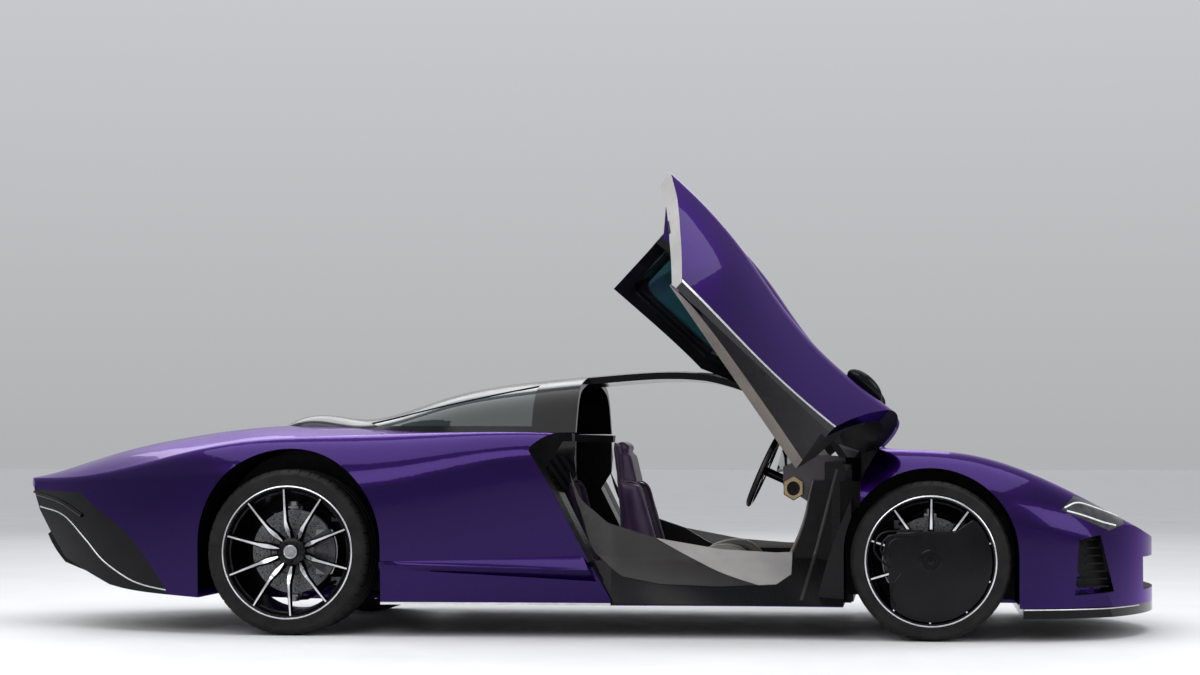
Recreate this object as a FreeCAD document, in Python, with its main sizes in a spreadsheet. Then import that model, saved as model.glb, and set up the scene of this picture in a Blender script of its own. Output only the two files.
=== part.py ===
import FreeCAD, Part
import math
import os
import Sketcher
from FreeCAD import Matrix, Placement, Rotation, Vector

# Low two-plus-one seat supercar with two doors that swing up and outward.
# Frame: +X forward, +Y to the car's left, +Z up, origin on the ground at mid-length.
# All sizes are in millimetres.

doc = FreeCAD.newDocument("supercar")
sheet = doc.addObject("Spreadsheet::Sheet", "sizes")

SIZES = [
    # name, value
    ("overall_length", 5137),
    ("wheelbase", 2726),
    ("front_overhang", 980),
    ("half_width", 966),
    ("ground_clearance", 137),
    ("roof_height", 1149),
    ("wheel_face", 945),
    ("front_tyre_radius", 332),
    ("front_tyre_width", 235),
    ("front_ring_radius", 271),
    ("rear_tyre_radius", 355),
    ("rear_tyre_width", 315),
    ("rear_ring_radius", 284),
    ("tyre_shoulder", 22),
    ("ring_lip", 12),
    ("barrel_wall", 9),
    ("spoke_count", 10),
    ("spoke_thickness", 30),
    ("spoke_width", 26),
    ("hub_radius", 66),
    ("hub_recess", 70),
    ("spindle_radius", 30),
    ("spindle_clearance", 0.05),
    ("disc_radius", 180),
    ("disc_thickness", 34),
    ("disc_inset", 118),
    ("front_arch_radius", 362),
    ("front_arch_lift", 23),
    ("rear_arch_radius", 408),
    ("rear_arch_lift", 35),
    ("front_well_wall", 510),
    ("rear_well_wall", 560),
    ("kingpin_y", 815),
    ("kingpin_lift", 186),
    ("kingpin_arm", 8),
    ("wishbone_rod", 8),
    ("inner_pivot_lift", 140),
    ("kingpin_radius", 11),
    ("panel_gap", 6),
    ("door_thickness", 70),
    ("door_bottom", 148),
    ("door_trim_thickness", 16),
    ("canopy_thickness", 30),
    ("glass_thickness", 6),
    ("glass_inset", 4),
    ("window_frame", 70),
    ("hinge_x", 1250),
    ("hinge_y", 608),
    ("hinge_z", 853),
    ("hinge_sweep", 28.94),
    ("hinge_rise", 24),
    ("door_open_angle", 76.75),
    ("hinge_pin_radius", 10),
    ("hinge_pin_start", 119),
    ("hinge_pin_length", 144),
    ("roof_spine", 250),
    ("seat_gap", 0.3),
    ("floor_thickness", 28),
    ("cabin_front", 1230),
    ("cabin_rear", -200),
    ("cabin_half_width", 640),
    ("wall_thickness", 30),
    ("engine_length", 560),
    ("engine_width", 620),
    ("engine_height", 520),
    ("steering_wheel_radius", 165),
    ("steering_rim_radius", 14),
    ("lid_length", 560),
    ("lid_half_width", 400),
    ("lid_front", 2160),
    ("lid_thickness", 30),
    ("luggage_depth", 260),
    ("splitter_depth", 42),
    ("steering_column_radius", 20),
    ("nose_slot_depth", 110),
    ("towing_socket_radius", 9),
    ("towing_socket_depth", 50),
]

for line, (name, value) in enumerate(SIZES, 1):
    sheet.set("A%d" % line, name)
    sheet.set("B%d" % line, str(value))
    sheet.setAlias("B%d" % line, name)
doc.recompute()


def size(name):
    return float(sheet.get(name))


NOSE = size("overall_length") / 2
TAIL = -NOSE
FRONT_AXLE = NOSE - size("front_overhang")
REAR_AXLE = FRONT_AXLE - size("wheelbase")
GAP = size("panel_gap")
FLOOR = size("ground_clearance")
NODES = {}


# Small shape helpers

def box(x0, x1, y0, y1, z0, z1):
    return Part.makeBox(x1 - x0, y1 - y0, z1 - z0, Vector(x0, y0, z0))


def outline(points, place):
    """Closed wire of lines, with an arc wherever a point is marked as a middle point."""
    edges = []
    places = [(place(p[0], p[1]), len(p) > 2) for p in points]
    count = len(places)
    i = 0
    while i < count:
        here = places[i][0]
        after, is_middle = places[(i + 1) % count]
        if is_middle:
            end = places[(i + 2) % count][0]
            edges.append(Part.Arc(here, after, end).toShape())
            i += 2
        else:
            edges.append(Part.makeLine(here, after))
            i += 1
    return Part.Wire(edges)


def grown(wire, distance):
    return wire.makeOffset2D(distance) if distance else wire


def side_prism(points, y0, y1, grow=0.0):
    """Side view outline in X and Z, pushed from y0 to y1."""
    wire = grown(outline(points, lambda x, z: Vector(x, y0, z)), grow)
    return Part.Face(wire).extrude(Vector(0, y1 - y0, 0))


def plan_prism(points, z0, z1, grow=0.0):
    """Plan outline in X and Y, pushed from z0 to z1."""
    wire = grown(outline(points, lambda x, y: Vector(x, y, z0)), grow)
    return Part.Face(wire).extrude(Vector(0, 0, z1 - z0))


def front_prism(points, x0, x1):
    """Front view outline in Y and Z, pushed from x0 to x1."""
    wire = outline(points, lambda y, z: Vector(x0, y, z))
    return Part.Face(wire).extrude(Vector(x1 - x0, 0, 0))


def mirrored(shape):
    return shape.mirror(Vector(0, 0, 0), Vector(0, 1, 0))


def both_sides(shape):
    return shape.fuse(mirrored(shape))


def carved(shape, tools):
    """The shape with each tool cut away in turn."""
    for tool in tools:
        shape = shape.cut(tool)
    return shape


def rod(start, end, radius):
    a, b = Vector(*start), Vector(*end)
    return Part.makeCylinder(radius, (b - a).Length, a, b - a)


def solid_of(shape):
    """The solids of a shape as one solid, or as a compound where it has several."""
    solids = shape.Solids
    return solids[0] if len(solids) == 1 else Part.makeCompound(solids)


def add_feature(name, shape, placement=None):
    feature = doc.addObject("Part::Feature", name)
    feature.Label = name
    feature.Shape = solid_of(shape)
    if placement:
        feature.Placement = placement
    NODES[name] = feature
    return feature


# Body surface: sections across the car, each of one flat bottom, two side arcs,
# two shoulder arcs tangent to the sides and to the crowned top

ANCHORS = {"tail": TAIL, "rear": REAR_AXLE, "front": FRONT_AXLE, "nose": NOSE, "mid": 0.0}

HULL = [
    # anchor, offset, bottom z, bottom inset, side inset, shoulder radius, crest z, centre z
    ("tail", -30, 519, 742, 732, 11, 650, 660),
    ("tail", 268, 330, 482, 470, 20, 668, 738),
    ("tail", 568, 200, 268, 255, 45, 700, 820),
    ("rear", -463, 160, 98, 84, 120, 790, 885),
    ("rear", 0, 137, 26, 1, 230, 848, 905),
    ("rear", 437, 137, 26, 0, 240, 862, 885),
    ("mid", 0, 137, 60, 2, 115, 866, 864),
    ("mid", 400, 137, 72, 14, 180, 846, 852),
    ("mid", 850, 137, 88, 72, 235, 824, 834),
    ("mid", 1250, 137, 62, 40, 240, 800, 812),
    ("front", 0, 137, 31, 0, 250, 790, 780),
    ("front", 312, 137, 36, 20, 240, 735, 715),
    ("front", 612, 137, 136, 112, 190, 605, 590),
    ("nose", -128, 137, 356, 326, 120, 478, 470),
    ("nose", 30, 137, 640, 598, 46, 379, 388),
]


def hull_section(row, inset):
    anchor, offset, bottom, bottom_inset, side_inset, radius, crest_z, centre_z = row
    x = ANCHORS[anchor] + offset
    foot = size("half_width") - bottom_inset - inset
    side = size("half_width") - side_inset - inset
    radius = max(radius - inset, 8)
    if inset:
        bottom -= 40
    crest_z, centre_z = crest_z - inset, centre_z - inset
    crest_y = side - radius
    for _ in range(12):
        crown = 2 * math.atan((centre_z - crest_z) / crest_y)
        crest_y = side - radius + radius * math.sin(crown)
    side_z = crest_z - radius * math.cos(crown)
    half_turn = (math.radians(90) - crown) / 2
    shoulder = (side - radius + radius * math.cos(half_turn), side_z + radius * math.sin(half_turn))
    rise = side_z - bottom
    sweep = ((side - foot) ** 2 + rise ** 2) / (2 * (side - foot))
    half_sweep = math.asin(rise / sweep) / 2
    flank = (side - sweep + sweep * math.cos(half_sweep), side_z - sweep * math.sin(half_sweep))

    def at(y, z):
        return Vector(x, y, z)

    edges = [
        Part.makeLine(at(-foot, bottom), at(foot, bottom)),
        Part.Arc(at(foot, bottom), at(*flank), at(side, side_z)).toShape(),
        Part.Arc(at(side, side_z), at(*shoulder), at(crest_y, crest_z)).toShape(),
        Part.Arc(at(crest_y, crest_z), at(0, centre_z), at(-crest_y, crest_z)).toShape(),
        Part.Arc(at(-crest_y, crest_z), at(-shoulder[0], shoulder[1]), at(-side, side_z)).toShape(),
        Part.Arc(at(-side, side_z), at(-flank[0], flank[1]), at(-foot, bottom)).toShape(),
    ]
    return Part.Wire(edges)


CANOPY = [
    # anchor, offset, foot z, foot half width, lean in degrees, shoulder radius, crest drop, roof drop
    ("rear", -262, 760, 200, 30, 60, 281, 269),
    ("rear", 137, 740, 400, 34, 120, 244, 214),
    ("rear", 537, 720, 590, 33, 180, 159, 114),
    ("mid", -200, 710, 720, 31, 230, 89, 44),
    ("mid", 200, 700, 775, 30, 250, 51, 9),
    ("mid", 550, 700, 785, 30, 250, 44, 0),
    ("mid", 800, 700, 770, 32, 230, 94, 51),
    ("mid", 1050, 700, 715, 34, 190, 199, 159),
    ("mid", 1300, 690, 610, 36, 130, 324, 289),
    ("mid", 1450, 680, 500, 38, 60, 404, 379),
]


def canopy_section(row, inset):
    anchor, offset, foot_z, foot_y, lean, radius, crest_drop, roof_drop = row
    x = ANCHORS[anchor] + offset
    lean = math.radians(lean)
    if inset:
        foot_z -= 40
        foot_y += 40 * math.tan(lean)
    foot_y -= inset / math.cos(lean)
    crest_z = size("roof_height") - crest_drop - inset
    roof_z = size("roof_height") - roof_drop - inset
    radius = max(radius - inset, 8)
    crest_y = foot_y * 0.6
    for _ in range(30):
        crown = 2 * math.atan((roof_z - crest_z) / crest_y)
        rise = crest_z - radius * math.cos(crown) + radius * math.sin(lean) - foot_z
        crest_y = foot_y - rise * math.tan(lean) - radius * math.cos(lean) + radius * math.sin(crown)
    middle_y = crest_y - radius * math.sin(crown)
    middle_z = crest_z - radius * math.cos(crown)
    half_turn = (lean + math.radians(90) - crown) / 2

    def at(y, z):
        return Vector(x, y, z)

    def round_at(turn):
        return (middle_y + radius * math.cos(turn), middle_z + radius * math.sin(turn))

    knee, shoulder = round_at(lean), round_at(half_turn)
    edges = [
        Part.makeLine(at(-foot_y, foot_z), at(foot_y, foot_z)),
        Part.makeLine(at(foot_y, foot_z), at(*knee)),
        Part.Arc(at(*knee), at(*shoulder), at(crest_y, crest_z)).toShape(),
        Part.Arc(at(crest_y, crest_z), at(0, roof_z), at(-crest_y, crest_z)).toShape(),
        Part.Arc(at(-crest_y, crest_z), at(-shoulder[0], shoulder[1]), at(-knee[0], knee[1])).toShape(),
        Part.makeLine(at(-knee[0], knee[1]), at(-foot_y, foot_z)),
    ]
    return Part.Wire(edges)


def lofted(table, section, inset=0.0):
    """Loft through the table's sections, at a depth under the outer surface."""
    return Part.makeLoft([section(row, inset) for row in table], True, False)


hull = lofted(HULL, hull_section)
canopy = lofted(CANOPY, canopy_section)

END_PLAN = [
    # x, y of the plan outline: one round arc across the tail and one across the nose
    (TAIL + 130, 400), (TAIL, 0, "middle"), (TAIL + 130, -400), (TAIL + 160, -1100), (NOSE - 480, -1100),
    (NOSE - 300, -820), (NOSE, 0, "middle"), (NOSE - 300, 820), (NOSE - 480, 1100), (TAIL + 160, 1100),
]
hull = hull.common(plan_prism(END_PLAN, 0, 1200))

# Doors: their side view outline, closed, and the line over the roof on which they hinge

hinge_point = Vector(size("hinge_x"), size("hinge_y"), size("hinge_z"))
sweep = math.radians(size("hinge_sweep"))
rise = math.radians(size("hinge_rise"))
hinge_axis = Vector(math.cos(rise) * math.cos(sweep), math.cos(rise) * math.sin(sweep), -math.sin(rise))
roof_meet = hinge_point.x - (hinge_point.y - size("roof_spine")) / math.tan(sweep)
front_meet = hinge_point.y + (1500 - hinge_point.x) * math.tan(sweep)
bottom = size("door_bottom")

hoop_x = 75
DOOR_SIDE = [
    (1105, bottom), (1185, 420, "middle"), (1370, 800), (1370, 1400), (hoop_x, 1400), (hoop_x, 900),
    (-85, 900), (-85, 790), (18, 620), (118, 420), (265, bottom),
]
DOOR_PLAN = [
    (1500, front_meet), (roof_meet, size("roof_spine")), (-300, size("roof_spine")),
    (-300, 1300), (1500, 1300),
]


# The rear wing reaches over the door's hooked end with a face that follows the door's swing
HOOK_TIP = Vector(-85, 940, 790)
HOOK_RISE = Vector(457, 0, 709)
SWING = Vector(0.24, 1, 1.55)


def hook_cover(grow):
    """What stays of the rear wing above the door's hooked end."""
    low = HOOK_TIP - SWING * 600 - HOOK_RISE - Vector(grow, 0, 0)
    high = low + HOOK_RISE * 2.2
    corners = [low, high, high - Vector(1500, 0, 0), low - Vector(1500, 0, 0)]
    face = Part.Face(Part.makePolygon(corners + [low]))
    return face.extrude(SWING * 900).common(box(-1200, hoop_x - grow, 0, 1300, 0, 2000))


def door_region(grow):
    side = side_prism(DOOR_SIDE, 0, 1300, grow)
    plan = plan_prism(DOOR_PLAN, 0, 1500, grow)
    return side.common(plan).cut(hook_cover(grow))


def hinge_pin(clearance):
    """Pin on the hinge line, from the door's beak into the front body."""
    start = hinge_point + hinge_axis * (size("hinge_pin_start") - clearance)
    radius, length = size("hinge_pin_radius") + clearance, size("hinge_pin_length") + 2 * clearance
    pin = Part.makeCylinder(radius, length, start, hinge_axis)
    pin.rotate(start, hinge_axis, 37)
    return pin


door_void = both_sides(door_region(GAP))
near_doors = box(-320, 1520, -1100, 1100, 0, 1300)
hull_middle = hull.common(near_doors)
canopy_middle = canopy.common(near_doors)

WINDOW_SIDE = [
    (1330, 812), (1330, 1400), (145, 1400), (145, 930), (600, 905),
]


def window_region(grow):
    frame = size("window_frame")
    side = side_prism(WINDOW_SIDE, 0, 1300, grow)
    plan = plan_prism(DOOR_PLAN, 0, 1500, grow - frame)
    return side.common(plan)


t_door = size("door_thickness")
hull_door = lofted(HULL, hull_section, t_door)
canopy_inner = lofted(CANOPY, canopy_section, size("canopy_thickness"))
glass_out = lofted(CANOPY, canopy_section, size("glass_inset"))
glass_in = lofted(CANOPY, canopy_section, size("glass_inset") + size("glass_thickness"))
region = door_region(0)
lower_door = carved(hull_middle.common(region), [hull_door, canopy_middle])
upper_door = carved(canopy_middle.common(region), [canopy_inner, hull_door])
FOOT = [
    # x, outer foot half width, inner edge half width, inner edge z, top half width, top z
    (240, 862, 790, 300, 800, 360),
    (1180, 862, 548, 336, 600, 450),
]
foot_wires, sill_wires = [], []
for foot_x, outer_y, edge_y, edge_z, top_y, top_z in FOOT:
    place = (lambda y, z: Vector(foot_x, y, z))
    corners = [(1000, bottom), (outer_y, bottom), (edge_y, edge_z), (top_y, top_z), (1000, top_z + 60)]
    foot_wires.append(outline(corners, place))
    under = [(outer_y + 5, bottom - 3), (edge_y, edge_z), (edge_y - 100, edge_z), (edge_y - 100, bottom - 3)]
    sill_wires.append(outline(under, place))
foot_room = Part.makeLoft(foot_wires, True, True)
over_sill = Part.makeLoft(sill_wires, True, True)
lower_door = lower_door.cut(over_sill)
door_closed = lower_door.cut(window_region(0)).fuse(hinge_pin(0))
frame_closed = upper_door.cut(window_region(0)).cut(door_closed)
glass_closed = glass_out.common(window_region(-size("seat_gap"))).common(region).cut(glass_in)
trim_out = lofted(HULL, hull_section, t_door + size("seat_gap"))
trim_in = lofted(HULL, hull_section, t_door + size("seat_gap") + size("door_trim_thickness"))
TRIM_SIDE = [
    (1080, bottom), (1160, 420, "middle"), (1240, 700), (60, 770), (70, 640), (165, 430), (300, bottom),
]
trim_prism = side_prism(TRIM_SIDE, 500, 1000)
trim_sheet = carved(trim_out.common(trim_prism), [trim_in, hook_cover(-40), over_sill])
trim_closed = trim_sheet.fuse(foot_room.common(trim_prism).common(trim_out))
pod = Part.makeSphere(38)
stretch_pod = Matrix()
stretch_pod.scale(2.4, 1.2, 0.8)
pod = pod.transformGeometry(stretch_pod)
pod.translate(Vector(1130, 867, 749))
pod_closed = pod.cut(door_closed)

DOOR_PARTS = [
    ("door_shell", door_closed), ("door_frame", frame_closed), ("door_glass", glass_closed),
    ("door_trim", trim_closed), ("camera_pod", pod_closed),
]
for name, shape in DOOR_PARTS:
    opened = shape.copy()
    opened.rotate(hinge_point, hinge_axis, size("door_open_angle"))
    add_feature(name + "_left", opened)
    add_feature(name + "_right", mirrored(opened))


# Wheel wells, as the space that a wheel needs

def wheel_well(axle, centre_z, radius, wall):
    arch = Part.makeCylinder(radius, 1100 - wall, Vector(axle, wall, centre_z), Vector(0, 1, 0))
    below = box(axle - radius, axle + radius, wall, 1100, -10, centre_z)
    return both_sides(arch.fuse(below))


front_arch_z = size("front_tyre_radius") + size("front_arch_lift")
rear_arch_z = size("rear_tyre_radius") + size("rear_arch_lift")
front_wells = wheel_well(FRONT_AXLE, front_arch_z, size("front_arch_radius"), size("front_well_wall"))
rear_wells = wheel_well(REAR_AXLE, rear_arch_z, size("rear_arch_radius"), size("rear_well_wall"))

# Front body: one clam with a luggage tub under a hinged lid

lid_front = size("lid_front")
lid_rear = lid_front - size("lid_length")
lid_half = size("lid_half_width")
lid_stock = hull.common(box(lid_rear - 100, lid_front + 100, -lid_half - 100, lid_half + 100, 300, 1000))
lid_skin = lid_stock.cut(lofted(HULL, hull_section, size("lid_thickness")))
LID_SIDE = [
    # the rear face leans under its hinge line, so that the lid can swing up
    (lid_rear, 1000), (lid_rear, 780), (lid_rear + 110, 700), (lid_rear + 110, 300),
    (lid_front, 300), (lid_front, 1000),
]
lid = lid_skin.common(side_prism(LID_SIDE, -lid_half, lid_half))
pin_radius = GAP - size("seat_gap")
for pin_y in (-280, 220):
    lid = lid.fuse(Part.makeCylinder(pin_radius, 60, Vector(lid_rear, pin_y, 776), Vector(0, 1, 0)))
lid_space = box(lid_rear - GAP, lid_front + GAP, -lid_half - GAP, lid_half + GAP, 300, 1000)
luggage = box(lid_rear + 40, lid_front - 60, -lid_half + 40, lid_half - 40, 560 - size("luggage_depth"), 1000)
under_lid = lofted(HULL, hull_section, size("lid_thickness") + GAP)
front_half = hull.common(box(size("cabin_front") + 70, NOSE + 10, -1100, 1100, 0, 1200))
canopy_tip = canopy.common(box(size("cabin_front"), 1600, -800, 800, 600, 1000))

LAMP_SIDE = [
    (2125, 545), (2185, 600), (2395, 520), (2400, 480), (2330, 455),
]
lamp_prism = side_prism(LAMP_SIDE, 480, 1000)
lamp_back = lofted(HULL, hull_section, 45)
headlamp = hull.cut(lamp_back).common(lamp_prism)
slot_back = NOSE - size("nose_slot_depth")
nose_slot = box(slot_back, NOSE + 10, -420, 420, 195, 335)
socket_depth = size("towing_socket_depth") + 5
socket_start = Vector(slot_back + 5, -330, 265)
towing_socket = Part.makeCylinder(size("towing_socket_radius"), socket_depth, socket_start, Vector(-1, 0, 0))
corner_inlet = side_prism([(2180, 190), (2200, 420), (2290, 440), (2350, 200)], 500, 1000)
inlet_back = lofted(HULL, hull_section, 80)
front_clam = carved(front_half, [
    canopy_tip, door_void, both_sides(hinge_pin(size("seat_gap"))), front_wells,
    lid_space.cut(under_lid), luggage, nose_slot, towing_socket,
    both_sides(lamp_prism.cut(lamp_back)), both_sides(corner_inlet.cut(inlet_back)),
])
add_feature("front_clam", front_clam)
add_feature("front_lid", lid)
add_feature("headlamps", both_sides(headlamp))

# Rear body: one clam round the engine bay, with the black tail under it

TAIL_LINE = [
    # side view line between the painted clam and the black tail
    (TAIL - 10, 652), (TAIL + 100, 612), (-2180, 604), (-1904, 428), (-1836, 359), (-1723, 218),
    (-1668, 100),
]
cabin_space = box(size("cabin_rear") - size("wall_thickness") - 20, 500, -810, 810, 100, 830)
engine_space = box(-1010, 500, -500, 500, 100, FLOOR + 20 + size("engine_height") + GAP)
painted = side_prism(TAIL_LINE + [(400, 100), (400, 1200), (TAIL - 10, 1200)], -1100, 1100)
rear_half = hull.common(painted).common(box(TAIL - 10, 330, -1100, 1100, 0, 1200))
sill_space = box(REAR_AXLE + 300, 400, -1100, 1100, 0, 320)
roof_space = box(size("cabin_rear") - size("wall_thickness") - 20, 500, -700, 700, 0, 1200)
rear_clam = carved(rear_half, [roof_space, cabin_space, engine_space, sill_space, rear_wells, door_void])
add_feature("rear_clam", rear_clam)

TAIL_BLACK = [
    # side view outline of the black tail, from its tip over the painted line and back along its underside
    (-2500, 640), (-2180, 640), (-1660, 300), (-1660, 137), (-2000, 200), (-2130, 252), (-2270, 311),
    (-2370, 425), (-2445, 520),
]
fascia = hull.common(side_prism(TAIL_BLACK, -1100, 1100)).cut(painted)
add_feature("tail_fascia", fascia)

# Black sill blades below the doors and in front of the rear wheels

blade = hull.common(box(REAR_AXLE + 300, 1290, 700, 1100, FLOOR, 300)).cut(rear_wells).cut(front_wells)
blade = blade.cut(box(250, 1290, 700, 1100, bottom - GAP, 400)).cut(door_void)
tub_rear = size("cabin_rear") - size("wall_thickness") - size("seat_gap")
tub_side = box(tub_rear, 1290, 600, 850 + size("seat_gap"), 0, 400)
add_feature("sill_blades", both_sides(blade.cut(tub_side)))

# Carbon tub: floor, sills, two bulkheads and the posts that frame the doors

wall = size("wall_thickness")
cabin_front, cabin_rear = size("cabin_front"), size("cabin_rear")
half = size("cabin_half_width")
SILL = [
    # x, foot half width, top half width, top z
    (cabin_rear - wall, 850, 774, 318),
    (240, 850, 774, 318),
    (1180, 850, 532, 328),
    (cabin_front + wall, 850, 532, 328),
]


def sill_section(row):
    x, foot, top, top_z = row
    floor_z = FLOOR + size("floor_thickness")
    corners = [
        (0, FLOOR), (foot, FLOOR), (foot, bottom - GAP), (top, top_z), (top - 40, top_z),
        (top - 48, floor_z), (0, floor_z),
    ]
    return outline(corners, lambda y, z: Vector(x, y, z))


floor_half = Part.makeLoft([sill_section(row) for row in SILL], True, True)
tub = both_sides(floor_half)
firewall = box(cabin_front, cabin_front + wall, -half, half, FLOOR, 760)
rear_wall = box(cabin_rear - wall, cabin_rear, -half - 60, half + 60, FLOOR, 1000)
inside = lofted(HULL, hull_section, t_door + size("door_trim_thickness") + 12)
canopy_room = lofted(CANOPY, canopy_section, size("canopy_thickness") + 1)
shell_room = inside.fuse(canopy_room)
post_y = 540
posts = box(1060, cabin_front + wall, post_y, 880, FLOOR + 5, 740).cut(door_region(GAP))
rear_posts = box(cabin_rear - wall, 300, half, 810 - size("seat_gap"), 150, 830 - size("seat_gap"))
walls = firewall.fuse([rear_wall, both_sides(posts), both_sides(rear_posts.cut(door_region(GAP)))])
tub = tub.fuse(walls.common(shell_room)).cut(front_wells)
add_feature("tub", tub)

# Roof frame, windscreen and the tapered rear of the canopy

SCREEN_PLAN = [
    (1410, 0), (1405, 330, "middle"), (1330, 560), (roof_meet + 20, 195), (roof_meet + 20, -195),
    (1330, -560), (1405, -330, "middle"),
]
screen_region = plan_prism(SCREEN_PLAN, 700, 1300)
roof_frame = canopy_middle.common(box(-90, 1440, -1000, 1000, 760, 1300))
roof_frame = carved(roof_frame, [screen_region, box(-90, 100, -1000, 1000, 0, 868), canopy_inner, door_void])
add_feature("roof_frame", roof_frame)
screen = glass_out.common(plan_prism(SCREEN_PLAN, 700, 1300, -size("seat_gap"))).cut(glass_in)
add_feature("windscreen", screen)
hull_rear = hull.common(box(REAR_AXLE - 300, 0, -1100, 1100, 600, 1200))
rear_part = canopy.common(box(REAR_AXLE - 250, -90, -1000, 1000, 500, 1300))
QUARTER_SIDE = [(-930, 915), (-130, 1080), (-130, 895), (-880, 900)]
quarter_region = side_prism(QUARTER_SIDE, 150, 1000)
rear_canopy = carved(rear_part, [canopy_inner, hull_rear, both_sides(quarter_region), door_void])
add_feature("rear_canopy", rear_canopy)
quarter = glass_out.common(side_prism(QUARTER_SIDE, 150, 1000, -size("seat_gap")))
quarter = carved(quarter, [glass_in, hull_rear])
add_feature("quarter_glass", both_sides(quarter))

# Splitter under the nose

splitter = hull.common(box(1965, NOSE + 10, -1100, 1100, FLOOR, FLOOR + size("splitter_depth")))
splitter.translate(Vector(0, 0, -size("splitter_depth") - size("seat_gap")))
add_feature("splitter", splitter)

# Engine block behind the cabin

engine_x = cabin_rear - wall - size("seat_gap") - size("engine_length")
engine = doc.addObject("Part::Box", "engine")
engine.setExpression("Length", "sizes.engine_length")
engine.setExpression("Width", "sizes.engine_width")
engine.setExpression("Height", "sizes.engine_height")
engine.Placement = Placement(Vector(engine_x, -size("engine_width") / 2, FLOOR + 20), Rotation())
NODES["engine"] = engine

undertray = box(-1009, cabin_rear - wall - size("seat_gap"), -499, 499, FLOOR, FLOOR + 12)
add_feature("undertray", undertray)


# Wheels: built at their own centre with +Y outward, then placed at a corner

def add_body(name):
    body = doc.addObject("PartDesign::Body", name)
    body.Label = name
    NODES[name] = body
    return body


def origin_plane(body, role):
    return next(item for item in body.Origin.OriginFeatures if item.Role == role)


def bound_polygon(body, name, role, corners):
    """Closed sketch whose corners are pairs of expressions in the sheet's names."""
    sketch = body.newObject("Sketcher::SketchObject", name)
    sketch.AttachmentSupport = [(origin_plane(body, role), "")]
    sketch.MapMode = "FlatFace"
    values = [(number(a), number(b)) for a, b in corners]
    count = len(corners)
    for i in range(count):
        a, b = values[i], values[(i + 1) % count]
        sketch.addGeometry(Part.LineSegment(Vector(a[0], a[1], 0), Vector(b[0], b[1], 0)), False)
    for i in range(count):
        sketch.addConstraint(Sketcher.Constraint("Coincident", i, 2, (i + 1) % count, 1))
    for i, pair in enumerate(corners):
        for kind, expression in zip(("DistanceX", "DistanceY"), pair):
            index = sketch.addConstraint(Sketcher.Constraint(kind, -1, 1, i, 1, number(expression)))
            sketch.setExpression("Constraints[%d]" % index, sheet_names(expression))
    return sketch


def number(expression):
    """Value of a sum or difference of sheet names and plain numbers."""
    total, sign = 0.0, 1.0
    for word in expression.split():
        if word == "+":
            sign = 1.0
        elif word == "-":
            sign = -1.0
        else:
            total += sign * (size(word) if word[0].isalpha() else float(word))
    return total


def sheet_names(expression):
    return " ".join("sizes." + word if word[0].isalpha() else word for word in expression.split())


def add_revolved(name, corners, placement):
    body = add_body(name)
    sketch = bound_polygon(body, name + "_profile", "YZ_Plane", corners)
    turned = body.newObject("PartDesign::Revolution", name + "_turned")
    turned.Profile = sketch
    turned.ReferenceAxis = (sketch, ["H_Axis"])
    turned.Angle = 360
    sketch.Visibility = False
    body.Placement = placement
    return body


CORNERS = [
    # name, axle x, side, tyre radius, tyre width, ring radius
    ("front_left", FRONT_AXLE, 1, "front_tyre_radius", "front_tyre_width", "front_ring_radius"),
    ("front_right", FRONT_AXLE, -1, "front_tyre_radius", "front_tyre_width", "front_ring_radius"),
    ("rear_left", REAR_AXLE, 1, "rear_tyre_radius", "rear_tyre_width", "rear_ring_radius"),
    ("rear_right", REAR_AXLE, -1, "rear_tyre_radius", "rear_tyre_width", "rear_ring_radius"),
]


def corner_placement(axle, side, radius_name):
    """The wheel face is the local plane y = 0, with +Y outward."""
    turn = Rotation(Vector(0, 0, 1), 0 if side > 0 else 180)
    return Placement(Vector(axle, side * size("wheel_face"), size(radius_name)), turn)


def tyre_corners(radius, width, ring):
    inner = ring + " - ring_lip"
    return [
        ("0 - 3", inner),
        ("0 - 0.5", ring + " + tyre_shoulder"),
        ("0 - tyre_shoulder", radius),
        ("tyre_shoulder - " + width, radius),
        ("0.5 - " + width, ring + " + tyre_shoulder"),
        ("3 - " + width, inner),
    ]


def spoke(ring):
    """One spoke from the recessed hub out to the ring, standing up along +Z."""
    recess, hub = size("hub_recess"), size("hub_radius")
    thick, width = size("spoke_thickness"), size("spoke_width")
    reach = size(ring) - size("ring_lip") - 2
    profile = [(-recess - thick, hub - 6), (-recess, hub - 6), (-6, reach), (-6 - thick, reach)]
    wire = outline(profile, lambda y, z: Vector(-width / 2, y, z))
    return Part.Face(wire).extrude(Vector(width, 0, 0))


def rim_shape(width_name, ring_name):
    ring, lip, wall = size(ring_name), size("ring_lip"), size("barrel_wall")
    width, recess = size(width_name), size("hub_recess")
    outer = ring - lip - 0.3
    profile = [
        (0, outer), (0, outer - lip), (-30, outer - lip - 8), (-width, outer - wall), (-width, outer),
    ]
    wire = outline(profile, lambda y, z: Vector(0, y, z))
    barrel = Part.Face(wire).revolve(Vector(0, 0, 0), Vector(0, 1, 0), 360)
    thick = size("spoke_thickness")
    depth = size("disc_inset") - recess
    hub = Part.makeCylinder(size("hub_radius"), depth, Vector(0, -recess, 0), Vector(0, -1, 0))
    spokes = []
    count = int(size("spoke_count"))
    for i in range(count):
        one = spoke(ring_name)
        one.rotate(Vector(0, 0, 0), Vector(0, 1, 0), 360.0 * i / count)
        spokes.append(one)
    rim = barrel.fuse([hub] + spokes)
    bore = size("spindle_radius") + size("spindle_clearance")
    return rim.cut(Part.makeCylinder(bore, 600, Vector(0, -300, 0), Vector(0, 1, 0)))


def turned_box(x0, x1, y0, y1, z0, z1, angle):
    piece = box(x0, x1, y0, y1, z0, z1)
    piece.rotate(Vector(0, 0, 0), Vector(0, 1, 0), angle)
    return piece


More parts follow.
